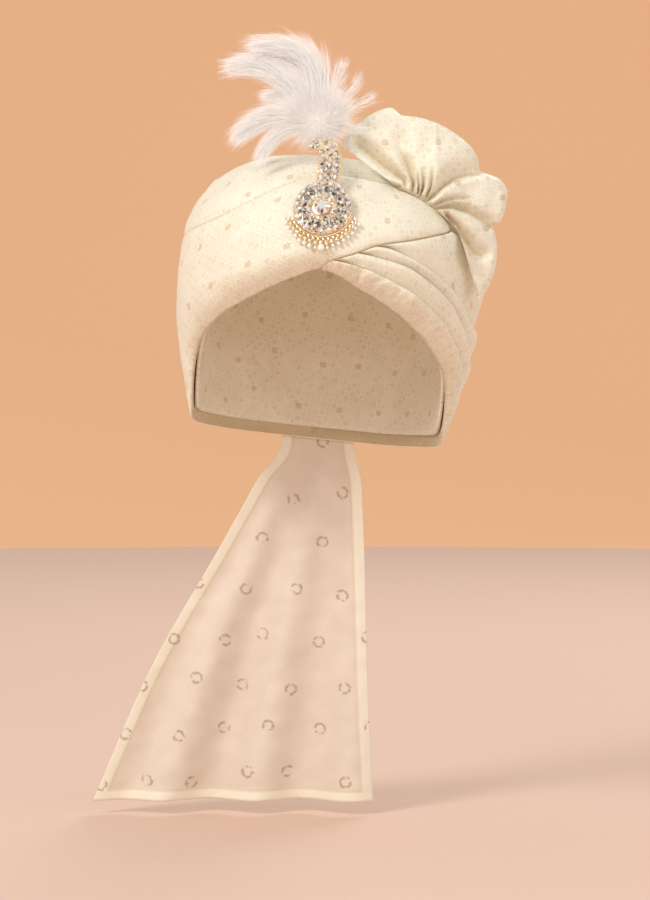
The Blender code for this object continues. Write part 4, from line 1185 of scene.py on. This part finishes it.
def make_crown(cloth):
    """The cap of cloth under the wraps, with soft gathers that run to its top."""
    azimuth = np.arange(0, FULL_TURN, 1.5)[:, None]
    row = np.linspace(0, 1, 90)[None, :-1]
    low = rim_level(azimuth) + CROWN_TUCK / ARC
    level = low + (1 - low) * (1 - (1 - row) ** 1.15)
    around = np.broadcast_to(azimuth, level.shape)
    height = height_at(level) * CROWN.top() / OUTER.top()
    near_top = smooth_step((level - 0.80) / 0.08) * smooth_step((1 - level) / 0.10)
    gathers = 0.5 + 0.5 * np.sin(np.radians(around) * 13 + 1.3 * np.sin(np.radians(around) * 3))
    outer = CROWN.point(around, height)
    outer[..., 2] += 0.0022 * near_top * gathers
    inner = HOLLOW.point(around, height * HOLLOW.top() / CROWN.top())
    rings = leaned(np.concatenate([outer, inner[:, ::-1]], 1))
    levels = np.concatenate([level, level[:, ::-1]], 1)
    uv = np.stack([np.radians(np.broadcast_to(azimuth, levels.shape)) * CROWN.half_width, levels * ARC], -1)
    # painted shade in the valleys between the gathers near the top; none on the inner face
    painted_crease_shade = np.concatenate([0.35 * near_top * (1 - gathers), np.zeros(level.shape)], 1)
    mesh = tube_of("crown_lining", rings, {"painted_crease_shade": painted_crease_shade}, uv, True)
    piece = add_piece("crown_lining", mesh, cloth, ["crown_cloth"])


# Fan


def bent_line_distance(x, z, points):
    """Distance to a bent line, on which side of it a place is (1 on the left), and the share of the way along it."""
    steps = [math.dist(one, other) for one, other in zip(points, points[1:])]
    nearest = np.full(x.shape, np.inf)
    side, along = np.zeros(x.shape), np.zeros(x.shape)
    run = 0.0
    for (ax, az), (bx, bz), step in zip(points, points[1:], steps):
        way_x, way_z = (bx - ax) / step, (bz - az) / step
        onward = np.clip((x - ax) * way_x + (z - az) * way_z, 0, step)
        away = np.hypot(x - ax - onward * way_x, z - az - onward * way_z)
        turn = np.sign(way_x * (z - az) - way_z * (x - ax))
        nearer = away < nearest
        nearest = np.where(nearer, away, nearest)
        side = np.where(nearer, turn, side)
        along = np.where(nearer, (run + onward) / sum(steps), along)
        run += step
    return nearest, side, along


def fan_height(x, z, reach):
    """Lift of the fan's cloth and the shade in its valleys, at places in the plane that faces the front."""
    valley, painted_crease_shade = np.zeros(x.shape), np.zeros(x.shape)
    x, z = x * 1000, z * 1000
    for depth, left, right, kept, points in FAN_VALLEYS:
        away, side, along = bent_line_distance(x, z, points)
        here = depth * (1 - (1 - kept) * along**2)
        narrow = 0.45 + 0.55 * smooth_step(along / 0.6)
        width = np.where(side > 0, left, right) * narrow
        form = here * np.exp(-((away / width) ** 2))
        valley = np.maximum(valley, form)
        painted_crease_shade = np.maximum(painted_crease_shade, here * np.exp(-((away / (FAN_CREASE * 1000 * (0.5 + narrow))) ** 2)))
        painted_crease_shade = np.maximum(painted_crease_shade, FAN_SHADE * form**2)
    for middle_x, middle_z, radius, depth in FAN_DENTS:
        dent = depth * np.exp(-((x - middle_x) ** 2 + (z - middle_z) ** 2) / radius**2)
        valley = 1 - (1 - valley) * (1 - dent)
    belly = smooth_step(reach / 0.10) * (0.65 + 0.35 * np.sin(math.pi * reach**0.8))
    return FAN_LIFT * belly * (1 - valley), painted_crease_shade


def make_fan(cloth):
    """The gathered fan: a pleated sheet from the front wrap's upper edge to a lobed edge."""
    gather = leaned(outer_skin(np.array(FAN_AZIMUTH), np.array(FAN_LEVEL), 0.0))
    edge = through(FAN_EDGE)
    first, last = FAN_EDGE[-1][0], FAN_EDGE[0][0]
    angle = np.linspace(first, last, 440)[:, None]
    reach = np.linspace(0, 1, 100)[None, :] ** 0.95
    along = (first - angle) / (first - last)
    azimuth = FAN_ROOT[0] + (FAN_ROOT[1] - FAN_ROOT[0]) * along
    level = front_upper(azimuth) + 0.0009 / ARC
    root_lift = FAN_ROOT_LIFT[0] + (FAN_ROOT_LIFT[1] - FAN_ROOT_LIFT[0]) * along**4
    root = leaned(outer_skin(azimuth, level, root_lift))
    turn = np.radians(angle)
    radius = FAN_RADIUS * edge(angle)
    x = root[..., 0] + (gather[0] + radius * np.cos(turn) - root[..., 0]) * reach
    z = root[..., 2] + (gather[2] + radius * np.sin(turn) - root[..., 2]) * reach
    lift, painted_crease_shade = fan_height(x, z, reach)
    free = gather[1] + FAN_BACK_LEAN * np.maximum(z - gather[2], 0) + FAN_SIDE_LEAN * np.clip(x - gather[0], 0, None)
    behind_body = front_y(x, z) - FAN_CLEARANCE
    start = np.broadcast_to(root[..., 1], x.shape)
    base = np.minimum(free, behind_body)
    base = start + (base - start) * smooth_step(reach / 0.12)
    wrinkle = 0.0005 * ripples(x, z, SEED + 11, 0.022, 1.0) + 0.0002 * ripples(x, z, SEED + 12, 0.008, 1.0)
    face = base - FAN_WALL - lift - wrinkle * smooth_step(reach / 0.3)
    curl = 0.0030 * smooth_step((reach - 0.90) / 0.10) ** 2
    face = face + curl
    back = face + FAN_WALL
    flat = np.stack([x - gather[0], (z - gather[2])], -1)
    mesh = sheet_of("fan_cloth", np.stack([x, face, z], -1), np.stack([x, back, z], -1), {"painted_crease_shade": painted_crease_shade}, flat)
    piece = add_piece("fan_cloth", mesh, cloth, ["fan"])


# Tail


def make_tail(cloth):
    """The free end of the cloth: a hemmed sheet that hangs from the nape and spreads to the left."""
    left, right, back = (through(TAIL_EDGES, column) for column in (1, 2, 3))
    row = np.linspace(0, 1, 130)[:, None]
    column = np.linspace(0, 1, 150)[None, :]
    azimuth = TAIL_ROOT[0] + (TAIL_ROOT[1] - TAIL_ROOT[0]) * column
    seat_level = rim_level(azimuth)
    seat_outer = OUTER.point(wrap_angle(azimuth), height_at(seat_level))
    seat = leaned((1 - RIM_DEPTH / 2) * inner_skin(azimuth, seat_level) + RIM_DEPTH / 2 * seat_outer)
    top = seat[..., 2] - 0.0006
    spread_x = (left(row) * (1 - column) + right(row) * column) * TAIL_LENGTH
    fold = np.sin(2 * math.pi * TAIL_FOLDS * column) * TAIL_FOLD_DEPTH * row
    fold = fold * np.sin(math.pi / 2 * np.minimum(column * 3, 1))
    hang = smooth_step(row / 0.12)
    x = seat[..., 0] + (spread_x - seat[..., 0]) * hang
    z = top + (TAIL_BOTTOM - top) * row
    y = seat[..., 1] + back(row) * TAIL_LENGTH + fold
    y = y + 0.0012 * row * ripples(z, x, SEED + 21, 0.040, 4.0) + 0.0002 * ripples(x, z, SEED + 22, 0.018, 1.0) * hang
    width = np.abs(x[:, -1:] - x[:, :1])
    from_side = np.minimum(column, 1 - column) * width
    from_bottom = (1 - row) * TAIL_LENGTH
    edge = np.minimum(from_side, from_bottom)
    hem = 1 - smooth_step((edge - TAIL_HEM) / 0.0012)
    stitch = np.exp(-(((edge - TAIL_HEM) / 0.0009) ** 2))
    half = TAIL_WALL / 2 + TAIL_HEM_LIFT / 2 * hem - 0.0003 * stitch
    flat = np.stack(np.broadcast_arrays(x, z), -1)
    # painted shade along the hem's stitch line, where the cloth dips
    layers = {"painted_crease_shade": 0.6 * stitch, "hem": hem}
    mesh = sheet_of("tail_cloth", np.stack([x, y - half, z], -1), np.stack([x, y + half, z], -1), layers, flat)
    piece = add_piece("tail_cloth", mesh, cloth, ["tail"])


# Brooch


def brooch_frame():
    """Place of the brooch: X to its right, Y up along it, Z out of the wrap, seated clear of the wrap."""
    turn = math.radians(BROOCH_AZIMUTH)
    lean_out, lean_up = math.cos(BROOCH_LEAN), math.sin(BROOCH_LEAN)
    out = Vector((math.sin(turn) * lean_out, -math.cos(turn) * lean_out, lean_up))
    up = (Vector((0, 0, 1)) - out * out.z).normalized()
    axes = Matrix((up.cross(out), up, out)).transposed().to_4x4()
    middle = Vector(leaned(outer_skin(np.array(BROOCH_AZIMUTH), np.array(BROOCH_LEVEL), 0.0)).tolist())
    rim = [Vector((math.cos(a), math.sin(a), 0)) * ROSETTE_RADIUS for a in np.linspace(0, 2 * math.pi, 24)]
    for _ in range(4):
        frame = Matrix.Translation(middle) @ axes
        deepest = max(behind(frame @ point) for point in rim)
        middle += out * deepest / -out.y
    return Matrix.Translation(middle) @ axes


def behind(point):
    """How far a point lies behind where a piece that rests on the wrap may be."""
    return point.y - (float(front_y(point.x, point.z)) - BROOCH_CLEARANCE)


def resting_depth(frame, x, y, radius):
    """Local Z at which a bead of the brooch's frame rests on the wrap."""
    z = 0.0
    for _ in range(5):
        z += (behind(frame @ Vector((x, y, z))) + radius) / -frame.col[2].y
    return z


def stem_line(count):
    """Steps, points, widths and directions along the stem's middle line."""
    table = np.array(STEM_LINE) * STEM_HEIGHT
    run = np.concatenate([[0], np.cumsum(np.hypot(*np.diff(table[:, :2], axis=0).T))])
    at = np.linspace(0, run[-1], count)
    x, y, width = (through(np.stack([run, table[:, column]], 1))(at) for column in range(3))
    heading = np.unwrap(np.arctan2(np.gradient(y), np.gradient(x)))
    return at, x, y, width, heading


def stone_places():
    """Middle, radius, tone and seat of every small stone."""
    places = []
    for share, count, radius, tone_and_reflection, seat in STONE_RINGS:
        for index in range(count):
            turn = 2 * math.pi * (index + 0.5) / count
            ring = share * ROSETTE_RADIUS
            places.append((ring * math.cos(turn), ring * math.sin(turn), radius, tone_and_reflection, seat))
    at, line_x, line_y, width, heading = stem_line(60)
    clear = ROSETTE_RADIUS + STEM_STONE - STEM_CLEAR
    for along in np.arange(STEM_STONE_PITCH / 2, at[-1], STEM_STONE_PITCH):
        wide = np.interp(along, at, width)
        columns = max(1, round(float(wide) / (STEM_STONE_SPREAD * STEM_STONE)))
        turn = np.interp(along, at, heading)
        for column in range(columns):
            off = (column - (columns - 1) / 2) * wide / columns
            px = np.interp(along, at, line_x) - math.sin(turn) * off
            py = np.interp(along, at, line_y) + math.cos(turn) * off
            radius = min(STEM_STONE, STEM_STONE_SHARE * wide / columns)
            gaps =(math.hypot(px - x, py - y) / (radius + other) for x, y, other, *_ in places)
            if math.hypot(px, py) > clear and min(gaps) > STONE_CROWDING:
                places.append((px, py, radius, 0.70, PLATE))
    return places


def facets_of(radius, height, sides, table=0.5, mid=0.82):
    """Points and faces of a brilliant's crown: a table, stars and kites down to its girdle, and a short foot."""
    turn = 2 * math.pi / sides
    rings = [
        (radius * table, height, 0.0),
        (radius * mid, height * 0.62, turn / 2),
        (radius, height * 0.25, 0.0),
        (radius * 0.9, -height * 0.35, 0.0),
    ]
    points = []
    for ring, up, shift in rings:
        for index in range(sides):
            points.append((ring * math.cos(index * turn + shift), ring * math.sin(index * turn + shift), up))
    faces = [list(range(sides))]
    for index in range(sides):
        following = (index + 1) % sides
        t0, t1 = index, following
        m0, m1 = sides + index, sides + following
        g0, g1 = 2 * sides + index, 2 * sides + following
        b0, b1 = 3 * sides + index, 3 * sides + following
        faces += [[t0, m0, t1], [t1, m0, g1, m1], [m0, g0, g1], [g0, b0, b1, g1]]
    faces.append([3 * sides + index for index in reversed(range(sides))])
    return np.array(points), faces


def make_stones(name, places, material, frame, replaced, sides=8, height=1.15):
    """Cut stones, each facet with the stone's own tone and a painted reflection that makes it darker or brighter at
    random.
    """
    pick = np.random.default_rng(SEED + 31)
    points, faces, tones_and_reflections = [], [], []
    for x, y, radius, tone_and_reflection, seat in places:
        own, own_faces = facets_of(radius * 0.96, radius * height, sides)
        turn = pick.uniform(0, math.pi)
        turned = own @ np.array([[math.cos(turn), math.sin(turn), 0], [-math.sin(turn), math.cos(turn), 0], [0, 0, 1]])
        first = len(points)
        points += (turned + np.array([x, y, seat])).tolist()
        faces += [[first + index for index in face] for face in own_faces]
        for face in own_faces:
            # painted reflection: each facet's tone is spread at random towards dark or bright
            tones_and_reflections += [float(np.clip(pick.normal(tone_and_reflection, 0.38), 0, 1))] * len(face)
    mesh = bpy.data.meshes.new(name)
    mesh.from_pydata(points, [], faces)
    mesh.attributes.new("tone_and_reflection", "FLOAT", "CORNER").data.foreach_set("value", np.array(tones_and_reflections, np.float32))
    return add_piece(name, mesh, material, replaced, frame)


class Jewel:
    """Collects small turned and bent shapes into one mesh."""

    def __init__(self):
        self.work = bmesh.new()

    def ring(self, x, y, z, radius, wire, sides=24, around=7):
        """A round wire ring that lies flat."""
        loops = []
        for turn in np.linspace(0, 2 * math.pi, sides, endpoint=False).tolist():
            loop = []
            for lap in np.linspace(0, 2 * math.pi, around, endpoint=False).tolist():
                out = radius + wire * math.cos(lap)
                place = (x + out * math.cos(turn), y + out * math.sin(turn), z + wire * math.sin(lap))
                loop.append(self.work.verts.new(place))
            loops.append(loop)
        self.skin(loops, True)

    def skin(self, loops, closed):
        pairs = list(zip(loops, loops[1:]))
        if closed:
            pairs.append((loops[-1], loops[0]))
        for one, other in pairs:
            for i in range(len(one)):
                j = (i + 1) % len(one)
                self.work.faces.new((one[i], one[j], other[j], other[i]))
        if not closed:
            self.work.faces.new(loops[0])
            self.work.faces.new(reversed(loops[-1]))

    def turned(self, x, y, profile, sides=12):
        """A body turned about Z from (radius, height) pairs."""
        loops = []
        for radius, up in profile:
            turns = np.linspace(0, 2 * math.pi, sides, endpoint=False).tolist()
            ring = [(x + radius * math.cos(t), y + radius * math.sin(t), up) for t in turns]
            loops.append([self.work.verts.new(place) for place in ring])
        self.skin(loops, False)

    def ball(self, place, radius, segments=10, rings=6):
        middle = Matrix.Translation(place)
        bmesh.ops.create_uvsphere(self.work, u_segments=segments, v_segments=rings, radius=radius, matrix=middle)

    def wire(self, points, radius, around=6):
        """A wire along points, with flat ends."""
        points = [Vector(point) for point in points]
        loops = []
        for index, point in enumerate(points):
            way = (points[min(index + 1, len(points) - 1)] - points[max(index - 1, 0)]).normalized()
            side = way.orthogonal().normalized() if abs(way.z) > 0.9 else way.cross(Vector((0, 0, 1))).normalized()
            other = way.cross(side)
            turns = np.linspace(0, 2 * math.pi, around, endpoint=False).tolist()
            ring = [point + (side * math.cos(t) + other * math.sin(t)) * radius for t in turns]
            loops.append([self.work.verts.new(place) for place in ring])
        self.skin(loops, False)

    def mesh(self, name):
        bmesh.ops.recalc_face_normals(self.work, faces=self.work.faces)
        mesh = bpy.data.meshes.new(name)
        self.work.to_mesh(mesh)
        self.work.free()
        mesh.shade_smooth()
        mesh.set_sharp_from_angle(angle=math.radians(50))
        return mesh


def make_brooch(gold, stone, pearl):
    frame = brooch_frame()
    places = stone_places()
    jewel = Jewel()
    jewel.turned(0, 0, [(ROSETTE_RADIUS, 0), (ROSETTE_RADIUS, PLATE * 0.7), (ROSETTE_RADIUS * 0.97, PLATE)], 64)
    jewel.turned(0, 0, [(TIER_RADIUS, PLATE / 2), (TIER_RADIUS * 0.98, PLATE + TIER)], 48)
    add_stem(jewel)
    for x, y, radius, _, seat in places:
        add_claw_cup(jewel, x, y, radius, seat)
    for index in range(24):
        turn = 2 * math.pi * index / 24
        reach = 0.975 * ROSETTE_RADIUS
        jewel.ball((reach * math.cos(turn), reach * math.sin(turn), PLATE + 0.0006), 0.0006)
    jewel.ring(0, 0, CENTRE_SEAT - 0.0004, CENTRE_RADIUS + 0.0007, 0.0006, 40)
    jewel.ring(0, 0, CENTRE_SEAT + 0.0004, CENTRE_RADIUS + 0.0001, 0.00035, 40)
    jewel.turned(0, 0, [(CENTRE_RADIUS + 0.0010, PLATE), (CENTRE_RADIUS + 0.0006, CENTRE_SEAT)], 40)
    for index in range(26):
        turn = 2 * math.pi * index / 26
        reach = CENTRE_RADIUS + 0.0013
        jewel.ball((reach * math.cos(turn), reach * math.sin(turn), CENTRE_SEAT - 0.0006), 0.00042, 8, 5)
    add_piece("brooch_metal", jewel.mesh("brooch_metal"), gold, ["brooch"], frame)
    make_stones("brooch_stones", places, stone, frame, ())
    centre = [(0.0, 0.0, CENTRE_RADIUS * 1.08, 0.80, CENTRE_SEAT)]
    make_stones("centre_cut_stone", centre, stone, frame, ["centre_stone"], 12, 0.62)
    make_fringe(frame, gold, pearl)


def add_stem(jewel):
    """The stem's plate: a tapering strip with a raised wire at both edges."""
    _, x, y, width, heading = stem_line(44)
    side = np.stack([-np.sin(heading), np.cos(heading)], 1) * width[:, None] / 2
    middle = np.stack([x, y], 1)
    loops = []
    for point, off in zip(middle, side):
        near, far = point + off, point - off
        ring = [(*near, 0.0), (*near, PLATE), (*far, PLATE), (*far, 0.0)]
        loops.append([jewel.work.verts.new(place) for place in ring])
    jewel.skin(loops, False)
    for sign in (1, -1):
        jewel.wire([(*place, PLATE) for place in (middle + sign * side).tolist()], 0.00045)


def add_claw_cup(jewel, x, y, radius, seat):
    """The cup of a stone with four claws over its girdle."""
    outer = radius * 0.99
    jewel.turned(x, y, [(outer * 0.95, seat - 0.0008), (outer, seat + radius * 0.10), (outer * 0.92, seat + radius * 0.16)], 12)
    for index in range(4):
        turn = math.pi / 4 + index * math.pi / 2
        place = (x + outer * 0.96 * math.cos(turn), y + outer * 0.96 * math.sin(turn), seat + radius * 0.32)
        jewel.ball(place, radius * 0.12, 6, 4)


def make_fringe(frame, gold, pearl):
    """The rail under the rosette with two rows of gold rings and beads, and pearls at their ends."""
    ring = ROSETTE_RADIUS + RAIL_FIT + RAIL_RADIUS
    pick = np.random.default_rng(SEED + 33)
    jewel = Jewel()
    pearls = Jewel()
    turns = np.radians(np.linspace(FRINGE_START - 3, FRINGE_END + 3, 40))
    jewel.wire([(ring * math.cos(t), ring * math.sin(t), PLATE / 2) for t in turns.tolist()], RAIL_RADIUS)
    drops = 17
    for index, angle in enumerate(np.linspace(FRINGE_START, FRINGE_END, drops).tolist()):
        turn = math.radians(angle)
        way = Vector((math.cos(turn), math.sin(turn) - 0.35, 0)).normalized()
        start = Vector((ring * math.cos(turn), ring * math.sin(turn), PLATE / 2))
        middle = 1 - abs(2 * index / (drops - 1) - 1)
        length = 0.0054 + 0.0022 * middle + pick.uniform(-0.0004, 0.0004)
        end = start + way * length
        end.z = max(resting_depth(frame, end.x, end.y, PEARL_RADIUS), -0.004)
        loop = start.lerp(end, 0.30)
        jewel.ring(loop.x, loop.y, loop.z + 0.0006, 0.00125, 0.00038, 14, 5)
        jewel.wire([start, loop, end], 0.00026, 5)
        for share, size in ((0.50, 0.00095), (0.68, 0.00105), (0.84, 0.00085)):
            jewel.ball(start.lerp(end, share) + Vector((0, 0, 0.0003)), size, 8, 5)
        size = PEARL_RADIUS * (1.25 if index == drops // 2 else pick.uniform(0.52, 0.78))
        pearls.ball(end, size, 14, 9)
        side = Vector((way.y, -way.x, 0))
        off = start.lerp(end, 0.62) + side * 0.0016
        jewel.ring(off.x, off.y, off.z + 0.0004, 0.00095, 0.00030, 12, 5)
    add_piece("fringe_metal", jewel.mesh("fringe_metal"), gold, ["pearl_fringe"], frame)
    add_piece("pearls", pearls.mesh("pearls"), pearl, (), frame)


# Plume


def barb_mesh(name, roots, ways, bends, lengths, widths, faces_way):
    """Thin ribbons that leave their roots along one way and bend towards another, narrowing to their tips."""
    share = np.linspace(0, 1, BARB_POINTS)[None, :, None]
    path = roots[:, None] + lengths[:, None, None] * (ways[:, None] * share + bends[:, None] * share**2)
    tangent = ways[:, None] + 2 * bends[:, None] * share
    side = np.cross(tangent, np.broadcast_to(faces_way[:, None], tangent.shape))
    side /= np.maximum(np.linalg.norm(side, axis=-1, keepdims=True), 1e-9)
    half = widths[:, None, None] / 2 * (1 - 0.85 * share)
    ribbon = np.stack([path - side * half, path + side * half], 2)
    count = len(roots)
    points = ribbon.reshape(-1, 3)
    first = (np.arange(count) * BARB_POINTS * 2)[:, None] + (np.arange(BARB_POINTS - 1) * 2)[None, :]
    faces = np.stack([first, first + 1, first + 3, first + 2], -1).reshape(-1, 4)
    mesh = bpy.data.meshes.new(name)
    mesh.from_pydata(points.tolist(), [], faces.tolist())
    mesh.shade_smooth()
    along = np.broadcast_to(share[..., 0], (count, BARB_POINTS))
    layer = mesh.attributes.new("along", "FLOAT", "POINT")
    layer.data.foreach_set("value", np.repeat(along.ravel(), 2).astype(np.float32))
    return mesh


def plume_frame():
    """The foot of the plume, the top of its quill and the middle of its tuft."""
    azimuth, level = np.array(PLUME_AZIMUTH), np.array(PLUME_LEVEL)
    foot = leaned(outer_skin(azimuth, level, 0.0014))
    out = leaned(outer_skin(azimuth, level, 0.0014 + PLUME_QUILL)) - foot
    top = foot + out / np.linalg.norm(out) * PLUME_QUILL
    return foot, top, top + np.array(PLUME_TUFT_AT) * PLUME_HEIGHT


def make_plume(down):
    """The plume: fronds of soft barbs round a dense tuft, on a quill that stands on the upper wrap."""
    foot, top, middle = plume_frame()
    pick = np.random.default_rng(SEED + 51)
    parts = []
    for bend_x, bend_z, tip_x, tip_z, back, half, many in PLUME_LOCKS:
        bend = top + np.array([bend_x, back / 2, bend_z]) * PLUME_HEIGHT
        tip = top + np.array([tip_x, back, tip_z]) * PLUME_HEIGHT
        parts.append(frond_barbs(middle, bend, tip, half * PLUME_HEIGHT, int(BARBS_PER_LOCK * many), pick))
    parts.append(tuft_barbs(middle, pick))
    joined = [np.concatenate(values) for values in zip(*parts)]
    mesh = barb_mesh("plume_barbs", *joined)
    piece = add_piece("plume_barbs", mesh, down, ["plume"])
    heart = Jewel()
    size = Matrix.Diagonal((*(Vector(PLUME_TUFT) * PLUME_HEIGHT * 0.62), 1))
    bmesh.ops.create_uvsphere(heart.work, u_segments=40, v_segments=24, radius=1, matrix=Matrix.Translation(middle) @ size)
    heart.wire([foot.tolist(), top.tolist(), middle.tolist()], 0.0012, 8)
    core = add_piece("plume_heart", heart.mesh("plume_heart"), down)
    return piece, core


def frond_barbs(root, bend, tip, half, count, pick):
    """Barbs along a curved frond: they leave its shaft at a narrow angle and sweep towards its tip."""
    share = pick.uniform(0.10, 1.0, count) ** 0.85
    s = share[:, None]
    point = (1 - s) ** 2 * root + 2 * s * (1 - s) * bend + s**2 * tip
    way = (1 - s) * (bend - root) + s * (tip - bend)
    way /= np.linalg.norm(way, axis=1, keepdims=True)
    spin = pick.normal(0, 1, (count, 3)) * np.array([1.0, 0.55, 1.0])
    side = spin - way * (spin * way).sum(1, keepdims=True)
    side /= np.linalg.norm(side, axis=1, keepdims=True)
    open_angle = pick.uniform(0.02, 0.55, count)[:, None] ** 1.3
    start = point + side * half * 1.5 * pick.uniform(0, 1, count)[:, None] ** 1.5 * (1 - 0.35 * s)
    leaves = way + side * open_angle
    leaves /= np.linalg.norm(leaves, axis=1, keepdims=True)
    droop = np.array([0, 0, -1.0]) * pick.uniform(0.0, 0.16, count)[:, None]
    bends = way * 0.15 - side * open_angle * 0.35 + droop
    lengths = half * pick.uniform(1.2, 4.4, count) * (1 - 0.60 * share)
    widths = BARB_WIDTH * pick.uniform(0.7, 1.3, count)
    facing = np.array([0.0, -1.0, 0.0]) + pick.normal(0, 0.35, (count, 3))
    return start, leaves, bends, lengths, widths, facing


def tuft_barbs(middle, pick):
    """Barbs that stand out all round the tuft and turn up."""
    size = np.array(PLUME_TUFT) * PLUME_HEIGHT
    way = pick.normal(0, 1, (TUFT_BARBS, 3))
    way /= np.linalg.norm(way, axis=1, keepdims=True)
    start = middle + way * size * pick.uniform(0.25, 0.75, TUFT_BARBS)[:, None]
    leaves = way * np.array([1.0, 0.45, 1.0]) + np.array([0, 0, 0.35])
    leaves /= np.linalg.norm(leaves, axis=1, keepdims=True)
    bends = pick.normal(0, 0.18, (TUFT_BARBS, 3)) + np.array([-0.10, 0, 0.10])
    lengths = pick.uniform(0.006, 0.015, TUFT_BARBS)
    widths = BARB_WIDTH * pick.uniform(0.7, 1.3, TUFT_BARBS)
    facing = np.array([0.0, -1.0, 0.0]) + pick.normal(0, 0.35, (TUFT_BARBS, 3))
    return start, leaves, bends, lengths, widths, facing


# Studio


def make_camera():
    camera = bpy.data.objects.new("camera", bpy.data.cameras.new("camera"))
    bpy.context.scene.collection.objects.link(camera)
    camera.location = CAMERA_PLACE
    way = Vector(CAMERA_AIM) - Vector(CAMERA_PLACE)
    camera.rotation_euler = way.to_track_quat("-Z", "Y").to_euler()
    camera.data.lens = CAMERA_LENS
    camera.data.sensor_width = CAMERA_SENSOR
    camera.data.clip_end = 50
    bpy.context.scene.camera = camera


def add_light(name, place, size, power, colour):
    light = bpy.data.lights.new(name, "AREA")
    light.shape = "DISK"
    light.size = size
    light.energy = power
    light.color = colour
    lamp = bpy.data.objects.new(name, light)
    bpy.context.scene.collection.objects.link(lamp)
    lamp.location = place
    lamp.rotation_euler = (Vector((0, 0, 0.03)) - Vector(place)).to_track_quat("-Z", "Y").to_euler()


def make_studio(lowest):
    add_light("key", (-1.5, -1.9, 1.7), 0.9, 42, (1.0, 0.98, 0.95))
    add_light("fill", (1.9, -1.6, 0.6), 1.6, 9, (1.0, 0.98, 0.95))
    add_light("back", (0.8, 1.9, 1.6), 1.2, 15, (1.0, 0.98, 0.94))
    world = bpy.data.worlds.new("studio")
    bpy.context.scene.world = world
    world.use_nodes = True
    background = world.node_tree.nodes["Background"]
    background.inputs["Color"].default_value = (1.0, 0.975, 0.94, 1)
    background.inputs["Strength"].default_value = 0.74
    bpy.context.scene.view_settings.view_transform = "Standard"
    height = lowest - FLOOR_DROP
    floor = turned_sheet("floor", [(0.0, height), (FLOOR_RADIUS, height)], 96)
    arc = np.linspace(0, math.pi / 2, 24)
    cove = [(FLOOR_RADIUS + COVE_RADIUS * math.sin(a), height + COVE_RADIUS * (1 - math.cos(a))) for a in arc.tolist()]
    cove = turned_sheet("backdrop", [*cove, (FLOOR_RADIUS + COVE_RADIUS, COVE_TOP)], 96)
    cove.visible_shadow = False
    cove.visible_diffuse = False
    floor.data.materials.append(stage_material("floor", (0.72, 0.51, 0.41), (0.74, 0.53, 0.43)))
    cove.data.materials.append(stage_material("backdrop", (0.93, 0.53, 0.30), (0.95, 0.55, 0.32)))


def turned_sheet(name, profile, sides):
    """An open sheet turned about Z from (radius, height) pairs."""
    turns = np.linspace(0, 2 * math.pi, sides, endpoint=False)
    rings = [np.stack([r * np.cos(turns), r * np.sin(turns), np.full(sides, z)], 1) for r, z in profile]
    mesh = bpy.data.meshes.new(name)
    faces = quads(len(rings), sides, False, True)
    if profile[0][0] == 0:
        points = np.concatenate([[[0, 0, profile[0][1]]], *rings[1:]])
        faces = [[0, 1 + (j + 1) % sides, 1 + j] for j in range(sides)]
    else:
        points = np.concatenate(rings)
        faces = faces.tolist()
    mesh.from_pydata(points.tolist(), [], faces)
    mesh.shade_smooth()
    body = bpy.data.objects.new(name, mesh)
    bpy.context.scene.collection.objects.link(body)
    return body


def main():
    for body in list(bpy.data.objects):
        bpy.data.objects.remove(body)
    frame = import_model()
    solid_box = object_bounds()
    make_camera()
    make_studio(solid_box[0][2])
    brocade, gold = brocade_material(), gold_material()
    make_crown(brocade)
    make_wraps(brocade)
    make_fan(brocade)
    make_tail(reverse_material())
    make_brooch(gold, stone_material(), pearl_material())
    make_plume(feather_material())
    pin = frame["nodes"]["brooch_pin"]
    pin.data.materials.clear()
    pin.data.materials.append(gold)


main()
